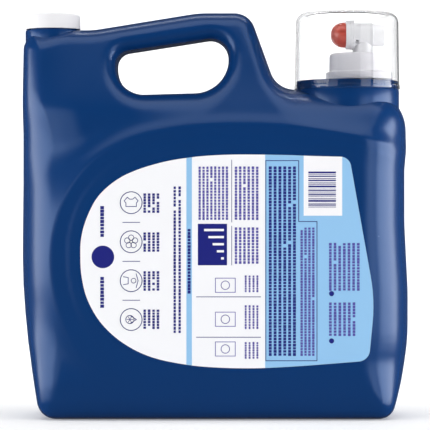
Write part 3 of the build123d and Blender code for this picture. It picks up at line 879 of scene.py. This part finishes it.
def run_group(name: str, tree: bpy.types.NodeTree, values: dict[str, object]) -> bpy.types.Object:
    """A plain mesh object from a node group.

    Args:
        name: the piece's name.
        tree: the node group.
        values: the group's inputs by name.

    Returns:
        The new object, with no modifier left on it.
    """
    obj = bpy.data.objects.new(name, bpy.data.meshes.new(name))
    bpy.context.scene.collection.objects.link(obj)
    modifier = obj.modifiers.new("nodes", "NODES")
    modifier.node_group = tree
    for item in tree.interface.items_tree:
        if item.in_out == "INPUT" and item.name in values:
            modifier[item.identifier] = values[item.name]
    made = bpy.data.meshes.new_from_object(obj.evaluated_get(bpy.context.evaluated_depsgraph_get()))
    obj.modifiers.clear()
    empty = obj.data
    obj.data = made
    made.name = name
    bpy.data.meshes.remove(empty)
    return obj


# ---------------------------------------------------------------- vent cap, tap and cup
def box_solid(name: str, low: Sequence[float], high: Sequence[float]) -> bpy.types.Object:
    """A closed box between two corners, in millimetres."""
    corners = [(x, y, z) for x in (low[0], high[0]) for y in (low[1], high[1]) for z in (low[2], high[2])]
    faces = [(0, 1, 3, 2), (4, 6, 7, 5), (0, 4, 5, 1), (2, 3, 7, 6), (0, 2, 6, 4), (1, 5, 7, 3)]
    return mesh_object(name, np.array(corners, float), faces)


def settle(obj: bpy.types.Object, finish: Finish, body: str, slot: str, *nodes: str) -> bpy.types.Object:
    """Dresses a piece, sets it on its body, and hides the frame's nodes that it stands for."""
    finish.dress(obj)
    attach(obj, body)
    if nodes:
        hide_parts(*nodes)
    return obj


@dataclass(frozen=True)
class VentCap:
    """The smooth screw cap over the vent neck, and the neck's thread ridge."""
    x: float = -118.3
    radius: float = 20.1
    inner: float = 18.85
    low: float = 280.6
    ceiling: float = 289.9
    high: float = 291.3
    thread_turns: float = 1.1
    thread_radius: float = 17.35
    thread_height: float = 4.65
    thread_wire: float = 1.0
    thread_foot: float = 282.6

    def build(self) -> bpy.types.Object:
        """Makes the cap with a fine bead round its lower edge, and the thread under it."""
        r = self.radius
        cap = lathe("vent_cap_shell", rounded_path([
            (0, self.ceiling, 0), (self.inner, self.ceiling, 0.4), (self.inner, self.low + 0.4, 0),
            (self.inner + 0.3, self.low, 0), (r, self.low, 0.25), (r, self.low + 1.5, 0.2),
            (r - 0.14, self.low + 1.75, 0.2), (r - 0.16, self.high, 1.9), (0, self.high + 0.05, 0)], turn=10),
            (self.x, 0, 0), segments=144)
        thread = Coil.build("vent_neck_thread", self.thread_turns, self.thread_radius, self.thread_height,
                            self.thread_wire, (self.x, 0, self.thread_foot), (0, 0, 0), JUG_BLUE)
        settle(thread, JUG_BLUE, "jug", "jug_blue")
        return settle(cap, CAP_WHITE_PAINTED_SHADE, "vent_cap", "cap_white", "vent_cap")


@dataclass(frozen=True)
class Tap:
    """The press tap: closure, housing with its barrel and spout, ring, button and return spring."""
    x: float = 104.7
    axis: float = 276.6
    tower_x: float = 107.8
    foot: float = 244.0
    lid: float = 263.0
    ceiling: float = 261.4
    skirt: float = 24.2
    skirt_bore: float = 20.2
    barrel: float = 8.7
    barrel_bore: float = 7.0
    spout: float = 8.3
    spout_bore: float = 6.9
    plate: float = 10.9
    plate_back: float = 100.1
    tower: float = 6.7
    tower_bore: float = 4.6
    guide: float = 7.7
    guide_bore: float = 6.5
    button_radius: float = 9.3
    button_wall: float = 1.2
    button_reach: float = 10.7
    button_fullness: float = 2.3
    ring_front: float = 94.8
    spring_start: float = 88.8
    spring_end: float = 100.6

    def build(self) -> None:
        """Makes every piece of the tap."""
        settle(self.closure(), CLOSURE_GREY_PAINTED_LIGHT, "jug", "tap_grey", "tap_closure")
        settle(self.housing(), TAP_WHITE_PAINTED_SHADE, "jug", "tap_white", "tap_housing")
        settle(self.ring(), TAP_WHITE_PAINTED_SHADE, "jug", "tap_white", "button_ring")
        settle(self.button(), BUTTON_RED, "button", "button_red", "tap_button")
        spring = Coil.build("tap_return_spring", 5.0, 4.2, 11.3, 0.4, (self.spring_start, 0, self.axis),
                            (0, 90, 0), SPRING_STEEL)
        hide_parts("return_spring")
        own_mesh(spring)
        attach(spring, "jug")

    def along(self, name: str, corners: Sequence[Corner], segments: int = 96) -> bpy.types.Object:
        """A solid of revolution round the barrel's axis from (radius, across, rounding) corners."""
        return lathe(name, rounded_path(corners, turn=10), (0, 0, self.axis), along_x=True, segments=segments)

    def closure(self) -> bpy.types.Object:
        """The skirted closure on the tap neck, with its flange."""
        foot, skirt, bore = self.foot, self.skirt, self.skirt_bore
        return lathe("tap_closure_shell", rounded_path([
            (0, self.ceiling, 0), (bore, self.ceiling, 0.4), (bore, foot + 0.3, 0), (bore + 0.3, foot, 0),
            (skirt, foot, 0.4), (skirt - 0.05, foot + 5.0, 0.5), (22.3, foot + 5.9, 0.5),
            (21.75, foot + 6.1, 0.2), (21.6, self.lid, 2.6), (0, self.lid, 0)], turn=10),
            (self.x, 0, 0), segments=144)

    def housing(self) -> bpy.types.Object:
        """The barrel and spout on their tower, with the plate behind the button's ring."""
        back, front = self.plate_back, self.plate_back + 1.0
        solid = self.along("tap_housing_shell", [
            (0, back, 0), (self.plate, back, 0.25), (self.plate, front, 0.25),
            (self.barrel, front + 0.2, 0.2), (self.barrel, 114.5, 0.5), (self.spout, 114.6, 0),
            (self.spout - 0.15, 122.9, 0.4), (0, 122.9, 0)])
        tower_foot = self.ceiling - 5
        tower = lathe("tower", rounded_path([
            (0, tower_foot, 0), (self.tower, tower_foot, 0.5), (self.tower, self.axis, 0), (0, self.axis, 0)],
            turn=10), (self.tower_x, 0, 0))
        combine(solid, tower, "UNION")
        for name, low, high in (("web", (101.0, -1.5, 265.0), (103.0, 1.5, 270.0)),
                                ("tab", (back, -2.5, self.axis - 12.2), (front, 2.5, self.axis - 8))):
            combine(solid, box_solid(name, low, high), "UNION")
        combine(solid, self.along("bore", [
            (0, 96.0, 0), (self.guide_bore, 96.0, 0), (self.guide_bore, 100.6, 0), (1.66, 100.6, 0),
            (1.66, 102.1, 0), (self.barrel_bore, 102.1, 0), (self.barrel_bore, 112.5, 0), (4.4, 112.5, 0),
            (4.4, 114.0, 0), (self.spout_bore, 114.0, 0), (self.spout_bore, 124.0, 0),
            (0, 124.0, 0)]), "DIFFERENCE")
        combine(solid, lathe("tower_bore", np.array([
            (0, 255.0), (self.tower_bore, 255.0), (self.tower_bore, 276.0), (0, 276.0)]),
            (self.tower_x, 0, 0)), "DIFFERENCE")
        combine(solid, box_solid("window", (101.9, -10, 268.3), (104.1, -5.4, 272.7)), "DIFFERENCE")
        combine(solid, self.along("guide", [
            (self.guide_bore, 96.0, 0), (self.guide, 96.0, 0), (self.guide, 100.3, 0),
            (self.guide_bore, 100.3, 0)]), "UNION")
        return solid

    def ring(self) -> bpy.types.Object:
        """The ring that holds the button, with a fine groove round it."""
        return self.along("button_ring_shell", [
            (9.4, self.ring_front, 0), (10.5, self.ring_front, 0.35), (10.6, 97.9, 0.1), (10.4, 98.0, 0),
            (10.4, 98.25, 0),
            (10.75, 98.35, 0.1), (10.75, 100.1, 0.1), (10.0, 100.1, 0), (10.0, 95.6, 0), (9.4, 95.6, 0)])

    def button(self) -> bpy.types.Object:
        """The domed red button, a shell with a boss for the valve's stem."""
        radius, inner = self.button_radius, self.button_radius - self.button_wall
        angles = np.linspace(0, math.pi / 2, 22)
        outside = self.dome(radius, self.button_reach, angles)
        inside = self.dome(inner, self.button_reach - self.button_wall, angles[::-1])
        line = outside + [(radius, 95.7), (9.9, 95.75), (9.9, 96.45), (inner, 96.5)] + inside[:-4]
        line += [(2.7, 86.4), (2.7, 92.3), (1.6, 92.3), (1.6, 88.3), (0, 88.3)]
        return lathe("tap_button_shell", np.array(line), (0, 0, self.axis), along_x=True, segments=96)

    def dome(self, radius: float, reach: float, angles: np.ndarray) -> list[Pair]:
        """Points of a full dome in front of the ring, from its tip to its rim."""
        power = 2 / self.button_fullness
        return [(radius * math.sin(a) ** power, self.ring_front - reach * math.cos(a) ** power)
                for a in angles]


@dataclass(frozen=True)
class MeasuringCup:
    """The clear cup turned over the tap, with a bead round its rim and a key rib inside it."""
    x: float = 96.0
    rim: float = 237.2
    top: float = 292.4
    rim_radius: float = 38.05
    top_radius: float = 37.25
    bead_radius: float = 38.4
    recess_radius: float = 30.0
    wall: float = 1.0
    key_angle: float = 229.0

    def build(self) -> bpy.types.Object:
        """Makes the cup."""
        w, rim, top, recess = self.wall, self.rim, self.top, self.recess_radius
        cup = lathe("cup_shell", rounded_path([
            (0, top - 0.9, 0), (recess - 1.0, top - 0.9, 1.5), (recess, top, 0.8),
            (self.top_radius, top, 7.0), (self.rim_radius, rim + 2.5, 0.3),
            (self.bead_radius, rim + 2.2, 0.3), (self.bead_radius, rim, 0.3),
            (self.rim_radius - w, rim, 0), (self.top_radius - w, top - w, 6.0), (recess + 0.4, top - w, 0.4),
            (recess - 0.6, top - w - 0.9, 0.4), (0, top - w - 0.9, 0)], turn=5),
            (self.x, 0, 0), segments=192, sharp=50)
        angle = math.radians(self.key_angle)
        key = box_solid("key", (self.rim_radius - w - 1.4, -1.2, rim + 0.1),
                        (self.rim_radius - 0.4, 1.2, rim + 5.6))
        key.data.transform(Matrix.Translation((self.x * MM, 0, 0)) @ Matrix.Rotation(angle, 4, "Z"))
        combine(cup, key, "UNION", 50)
        cup.data.materials.clear()
        cup.data.materials.append(self.clear())
        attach(cup, "cup")
        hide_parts("measuring_cup")
        return cup

    @staticmethod
    def clear() -> bpy.types.Material:
        """Clear moulded plastic whose gloss varies faintly and whose colour darkens towards the silhouette, a
        painted shade for the cup's grey edges.
        """
        material = bpy.data.materials.new("clear_cup")
        material.use_nodes = True
        nodes, links = material.node_tree.nodes, material.node_tree.links
        shader = nodes["Principled BSDF"]
        place = nodes.new("ShaderNodeTexCoord").outputs["Object"]
        # Painted shade: near white face-on, grey towards the silhouette, standing in for the cup's grey
        # edges.
        painted_edge_shade = nodes.new("ShaderNodeMix")
        painted_edge_shade.data_type = "RGBA"
        painted_edge_shade.inputs["A"].default_value = (0.99, 0.99, 0.992, 1)
        painted_edge_shade.inputs["B"].default_value = (0.80, 0.805, 0.82, 1)
        facing = nodes.new("ShaderNodeLayerWeight")
        facing.inputs["Blend"].default_value = 0.22
        links.new(facing.outputs["Facing"], painted_edge_shade.inputs["Factor"])
        links.new(painted_edge_shade.outputs["Result"], shader.inputs["Base Color"])
        spread = nodes.new("ShaderNodeMapRange")
        spread.inputs["To Min"].default_value = 0.01
        spread.inputs["To Max"].default_value = 0.04
        links.new(Finish.noise(nodes, links, place, 9.0, 3.0), spread.inputs["Value"])
        links.new(spread.outputs["Result"], shader.inputs["Roughness"])
        shader.inputs["Transmission Weight"].default_value = 1.0
        shader.inputs["IOR"].default_value = 1.28
        return material


# ---------------------------------------------------------------- labels
@dataclass(frozen=True)
class TextBlock:
    """Rows of small print: the space it fills on the printed face, in millimetres."""
    left: float
    right: float
    low: float
    high: float
    rows: int
    ink: Ink
    cover: float
    word: float


@dataclass
class Printing:
    """Gathers flat printed shapes by ink, each a thin closed prism proud of the label."""
    face: float
    side: int = -1
    depth: float = 0.03
    sunk: float = 0.04
    shapes: dict[Ink, list[tuple[np.ndarray, list[list[int]]]]] = field(default_factory=dict)
    seed: int = 3

    def plate(self, ink: Ink, outline: Sequence[Pair], layer: int = 1) -> None:
        """Adds a filled outline; a higher layer lies over a lower one."""
        line = np.array(outline, float)
        turned = np.roll(line, -1, axis=0)
        if float((line[:, 0] * turned[:, 1] - turned[:, 0] * line[:, 1]).sum()) * self.side > 0:
            line = line[::-1]
        near, far = self.face - self.sunk, self.face + self.depth * layer
        count = len(line)
        points = [(x, self.side * y, z) for y in (far, near) for x, z in line]
        faces = [list(range(count)), list(range(2 * count - 1, count - 1, -1))]
        faces += [[i, count + i, count + (i + 1) % count, (i + 1) % count] for i in range(count)]
        self.shapes.setdefault(ink, []).append((np.array(points), faces))

    def bar(self, ink: Ink, left: float, right: float, low: float, high: float, layer: int = 2) -> None:
        """Adds a rectangle."""
        self.plate(ink, [(left, low), (right, low), (right, high), (left, high)], layer)

    def line(self, ink: Ink, points: Sequence[Pair], width: float, closed: bool = False,
             layer: int = 2) -> None:
        """Adds a stroke of the given width along a path, one quadrilateral to each run."""
        path = [np.array(p, float) for p in points]
        runs = zip(path, path[1:] + path[:1]) if closed else zip(path, path[1:])
        for a, b in runs:
            along = (b - a) / max(1e-6, float(np.linalg.norm(b - a)))
            side = np.array((-along[1], along[0])) * width / 2
            a, b = a - along * width * 0.3, b + along * width * 0.3
            self.plate(ink, [tuple(a - side), tuple(b - side), tuple(b + side), tuple(a + side)], layer)

    def ring(self, ink: Ink, x: float, z: float, radius: float, width: float, layer: int = 2,
             steps: int = 40) -> None:
        """Adds a ring."""
        turns = np.linspace(0, 2 * math.pi, steps, endpoint=False)
        path = [(x + radius * math.cos(a), z + radius * math.sin(a)) for a in turns]
        self.line(ink, path, width, True, layer)

    def disc(self, ink: Ink, x: float, z: float, radius: float, layer: int = 2) -> None:
        """Adds a filled disc."""
        turns = np.linspace(0, 2 * math.pi, 32, endpoint=False)
        self.plate(ink, [(x + radius * math.cos(a), z + radius * math.sin(a)) for a in turns], layer)

    def words(self, block: TextBlock, layer: int = 2) -> None:
        """Adds rows of small print."""
        self.seed += 1
        pitch = (block.right - block.left) / block.rows
        count = max(1, round((block.high - block.low) / block.word))
        word = (block.high - block.low) / count
        deep = self.depth * layer + self.sunk
        obj = run_group("words", WordRows.group(), {
            "Width": pitch * (block.rows - 1) * MM, "Length": word * (count - 1) * MM,
            "Rows": block.rows, "Words": count, "Thickness": pitch * block.cover * MM,
            "Word": word * MM, "Depth": deep * MM, "Seed": self.seed, "Material": LABEL_STOCK.build()})
        places = np.array([v.co for v in obj.data.vertices]).reshape(-1, 3) / MM
        faces = [list(p.vertices) for p in obj.data.polygons]
        middle_x, middle_z = (block.left + block.right) / 2, (block.low + block.high) / 2
        depth = self.side * (self.face - self.sunk + deep / 2 + places[:, 2])
        points = np.stack([middle_x + places[:, 0], depth, middle_z + places[:, 1]], 1)
        if self.side < 0:
            faces = [face[::-1] for face in faces]
        self.shapes.setdefault(block.ink, []).append((points, faces))
        mesh = obj.data
        bpy.data.objects.remove(obj)
        bpy.data.meshes.remove(mesh)

    def build(self, prefix: str, body: str, slot: str) -> None:
        """Makes one piece for each ink."""
        for ink, shapes in self.shapes.items():
            start, points, faces = 0, [], []
            for places, corners in shapes:
                points.append(places)
                faces += [[start + i for i in face] for face in corners]
                start += len(places)
            obj = mesh_object(f"{prefix}_{ink.name.lower()}", np.concatenate(points), faces, sharp=20)
            finish = Finish(f"ink_{ink.name.lower()}", ink.value, roughness=0.36, mottle=0.02)
            settle(obj, finish, body, slot)
            LOG.info("%s: %d faces", obj.name, len(obj.data.polygons))


def clipped(outline: np.ndarray, left: float = -1e3, right: float = 1e3, low: float = -1e3,
            high: float = 1e3) -> list[Pair]:
    """The part of an outline inside a rectangle."""
    line = [tuple(p) for p in outline]
    for axis, limit, keep in ((0, left, 1), (0, right, -1), (1, low, 1), (1, high, -1)):
        made: list[Pair] = []
        for a, b in zip(line, line[1:] + line[:1]):
            inside_a, inside_b = (a[axis] - limit) * keep >= 0, (b[axis] - limit) * keep >= 0
            if inside_a:
                made.append(a)
            if inside_a != inside_b:
                t = (limit - a[axis]) / (b[axis] - a[axis])
                made.append((a[0] + t * (b[0] - a[0]), a[1] + t * (b[1] - a[1])))
        line = made
    return line


@dataclass
class BackLabel:
    """The printed label on the -Y face: fields of colour, plain icons and even rows of bars."""
    face: float = 52.3
    backing: float = 51.3
    outline: np.ndarray = field(init=False)
    blocks: tuple[TextBlock, ...] = (
        TextBlock(-82.0, -78.0, 80.0, 102.0, 1, Ink.NAVY, 0.7, 2.4),
        TextBlock(-82.0, -78.0, 130.0, 152.0, 1, Ink.NAVY, 0.7, 2.4),
        *(TextBlock(-51.5, -39.0, low, low + 14.0, 4, Ink.NAVY, 0.6, 2.1)
          for low in (147.0, 119.5, 92.0, 65.0)),
        TextBlock(-30.5, -23.5, 62.0, 166.0, 2, Ink.NAVY, 0.5, 2.4),
        TextBlock(-20.0, -17.2, 90.0, 136.0, 1, Ink.NAVY, 0.8, 2.3),
        TextBlock(-12.5, 9.5, 142.0, 180.0, 8, Ink.FINE, 0.6, 2.1),
        TextBlock(13.0, 31.0, 142.0, 180.0, 6, Ink.FINE, 0.6, 2.1),
        TextBlock(13.0, 31.0, 111.0, 137.0, 6, Ink.FINE, 0.6, 2.1),
        TextBlock(20.0, 31.0, 91.0, 103.0, 4, Ink.FINE, 0.5, 1.8),
        TextBlock(20.0, 31.0, 65.0, 82.0, 4, Ink.FINE, 0.5, 1.8),
        TextBlock(20.0, 31.0, 44.0, 56.0, 4, Ink.FINE, 0.5, 1.8),
        TextBlock(37.0, 57.5, 46.0, 180.0, 6, Ink.NAVY, 0.65, 2.2),
        TextBlock(59.5, 70.5, 46.0, 137.0, 4, Ink.FINE, 0.65, 2.0),
        TextBlock(79.5, 102.5, 92.0, 126.0, 7, Ink.FINE, 0.6, 2.1),
        TextBlock(79.5, 99.5, 60.0, 84.0, 6, Ink.FINE, 0.6, 2.1))

    def __post_init__(self) -> None:
        """Lays out the label's edge."""
        left = smooth_path([
            (67.7, 187.3), (48.3, 188.0), (19.1, 188.3), (-0.3, 187.8), (-16.6, 186.4), (-36, 183.2),
            (-55.5, 177.4), (-70, 170.2), (-82.6, 159), (-90.3, 145.0), (-94.6, 130.5), (-95.4, 116.6),
            (-94.4, 101.5), (-90.2, 85.4), (-80.6, 69.1), (-65.4, 55.3), (-45.6, 45.4), (-20.5, 39.9),
            (3, 37.8), (28.7, 37.4), (55, 38.6), (80, 40.4)])
        right = rounded_path([(80, 40.4, 0), (108.4, 42.7, 8.5), (112.6, 86, 120), (94.6, 186.6, 7.5),
                              (67.7, 187.3, 0)], closed=False)
        self.outline = np.concatenate([left[:-1], right[:-1]])

    def build(self) -> None:
        """Makes the label and all that is printed on it."""
        label = prism("back_label_film", self.outline, -self.backing, -self.face)
        settle(label, LABEL_STOCK, "jug", "label_stock", "back_label")
        ink = Printing(self.face)
        ink.plate(Ink.SKY, clipped(self.outline, left=-20.5, right=-16.6))
        ink.plate(Ink.SKY, clipped(self.outline, left=35.1))
        ink.plate(Ink.STOCK, clipped(self.outline, left=62.3, right=89.5, low=145.1), layer=2)
        for block in self.blocks:
            ink.words(block, 3)
        self.benefits(ink)
        self.dosing(ink)
        self.notices(ink)
        ink.build("back_print", "jug", "label_stock")

    @staticmethod
    def benefits(ink: Printing) -> None:
        """The plain disc and the column of round icons at the left."""
        ink.disc(Ink.NAVY, -79.5, 116.0, 8.0)
        across, garment, flower, face, drop = -59.5, 154.3, 126.7, 99.2, 71.8
        for z in (garment, flower, face, drop):
            ink.ring(Ink.NAVY, across, z, 7.7, 0.6)
        for z in (140.4, 112.9, 85.4):
            ink.bar(Ink.NAVY, across - 6.1, across + 6.3, z - 0.25, z + 0.25)
        half = [(-3.7, -2.7), (-3.7, -0.3), (-4.9, 1.3), (-2.7, 3.9), (-1.1, 2.5)]
        shirt = half + [(-x, z) for x, z in half[::-1]]
        ink.line(Ink.NAVY, [(across + x, garment + z) for x, z in shirt], 0.5, True)
        for k in range(5):
            a = math.radians(90 + 72 * k)
            ink.ring(Ink.NAVY, across + 2.9 * math.cos(a), flower + 2.9 * math.sin(a), 1.9, 0.45, steps=16)
        ink.ring(Ink.NAVY, across, flower, 1.0, 0.45, steps=12)
        ink.ring(Ink.NAVY, across + 1.7, face, 1.7, 0.45, steps=14)
        ink.line(Ink.NAVY, [(-65.0, 96.4), (-61.6, 97.0), (-61.6, 101.4), (-65.0, 102.0)], 0.5)
        ink.line(Ink.NAVY, [(-56.0, 104.2), (-54.6, 99.2), (-56.0, 94.2)], 0.5)
        middle = across - 0.9
        ink.ring(Ink.NAVY, middle, drop, 2.9, 0.5, steps=20)
        for k in range(3):
            a = math.radians(60 * k)
            dx, dz = 2.2 * math.cos(a), 2.2 * math.sin(a)
            ink.line(Ink.NAVY, [(middle - dx, drop - dz), (middle + dx, drop + dz)], 0.4)
        ink.line(Ink.NAVY, [(middle, drop + 2.9), (-55.8, drop), (middle, drop - 2.9)], 0.5)

    @staticmethod
    def dosing(ink: Printing) -> None:
        """The dark square with its scale, the rules and the three outlined squares."""
        for low, high in ((140.4, 184.6), (110.1, 137.9)):
            ink.bar(Ink.NAVY, 11.3, 11.7, low, high)
        ink.bar(Ink.NAVY, -12.4, 8.2, 110.1, 139.4)
        for k in range(5):
            z = 115.0 + 5.0 * k
            ink.bar(Ink.STOCK, 4.0 - 3.0 * k, 6.0, z - 0.8, z + 0.8, 3)
        for z in (87.8, 59.3):
            ink.bar(Ink.NAVY, -13.6, 32.1, z - 0.25, z + 0.25)
        stroke = 0.5
        for low in (46.0, 67.0, 91.0):
            high = low + 10.0
            ink.line(Ink.SKETCH, [(0.0, low), (14.0, low), (14.0, high), (0.0, high)], stroke, True)
            ink.ring(Ink.SKETCH, 7.0, low + 5.0, 3.0, stroke, 3, steps=24)

    @staticmethod
    def notices(ink: Printing) -> None:
        """The boxed rows' frame, an even pattern of bars and the two dots at the right."""
        ink.line(Ink.NAVY, [(35.6, 184.0), (58.8, 184.0), (58.8, 141.0), (71.7, 141.0), (71.7, 42.7),
                            (35.6, 42.7)], 0.55, True)
        widths, gaps = (0.5, 0.9, 0.4, 1.3, 0.6, 0.4, 1.0), (0.7, 0.5, 0.9, 0.5, 1.0)
        z, step = 151.0, 0
        while z < 175.6:
            thick = widths[step % len(widths)]
            ink.bar(Ink.NAVY, 65.6, 85.1, z, z + thick, 3)
            z += thick + gaps[step % len(gaps)]
            step += 1
        for z in (90.1, 56.7):
            ink.disc(Ink.NAVY, 82.0, z, 1.8)


@dataclass
class FrontLabel:
    """The label on the +Y face, which takes plain fields of colour."""
    face: float = 52.3
    backing: float = 51.9

    def build(self, outline: np.ndarray) -> None:
        """Makes the label and its fields.

        Args:
            outline: the edge it shares with the label opposite.
        """
        label = prism("front_label_film", outline, self.backing, self.face)
        settle(label, LABEL_STOCK, "jug", "label_stock", "front_label")
        ink = Printing(self.face, side=1)
        ink.plate(Ink.SKY, clipped(outline, left=-70.0))
        ink.plate(Ink.ROYAL, clipped(outline, high=72.0), layer=2)
        ink.plate(Ink.STOCK, clipped(outline, low=72.0, high=75.5), layer=2)
        ink.disc(Ink.STOCK, 10.0, 128.0, 41.0, 2)
        ink.disc(Ink.NAVY, 10.0, 128.0, 37.5, 3)
        ink.ring(Ink.SKY, 10.0, 128.0, 33.0, 1.6, 4, steps=72)
        for k, width in enumerate((40.0, 52.0, 34.0)):
            z = 139.0 - 12.0 * k
            ink.bar(Ink.STOCK, 10.0 - width / 2, 10.0 + width / 2, z - 3.4, z + 3.4, 4)
        ink.words(TextBlock(60.0, 100.0, 86.0, 104.0, 4, Ink.NAVY, 0.6, 4.5), 3)
        ink.words(TextBlock(-40.0, 60.0, 50.0, 64.0, 9, Ink.STOCK, 0.4, 5.0), 3)
        ink.build("front_print", "jug", "label_stock")


@dataclass(frozen=True)
class CarriedNodes:
    """Finishes for the frame's own nodes that stay in view."""
    finishes: tuple[tuple[str, Finish], ...] = (
        ("vent_cap_liner", LINER_FOAM), ("tap_gasket", SEAL_RUBBER), ("valve_stem", TAP_WHITE_PAINTED_SHADE),
        ("valve_plug", SEAL_RUBBER), ("stem_o_ring", SEAL_RUBBER))

    def build(self) -> None:
        """Dresses each node."""
        for name, finish in self.finishes:
            finish.dress(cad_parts[name])


def main() -> None:
    """Builds the studio and every sub-assembly in order."""
    logging.basicConfig(level=logging.INFO, format="%(message)s")
    Studio().build()
    jug = Jug().build()
    LOG.info("jug: %d faces", len(jug.data.polygons))
    LOG.info("vent cap: %d faces", len(VentCap().build().data.polygons))
    Tap().build()
    LOG.info("tap built")
    LOG.info("cup: %d faces", len(MeasuringCup().build().data.polygons))
    back = BackLabel()
    back.build()
    FrontLabel().build(back.outline)
    CarriedNodes().build()


if __name__ == "__main__":
    main()
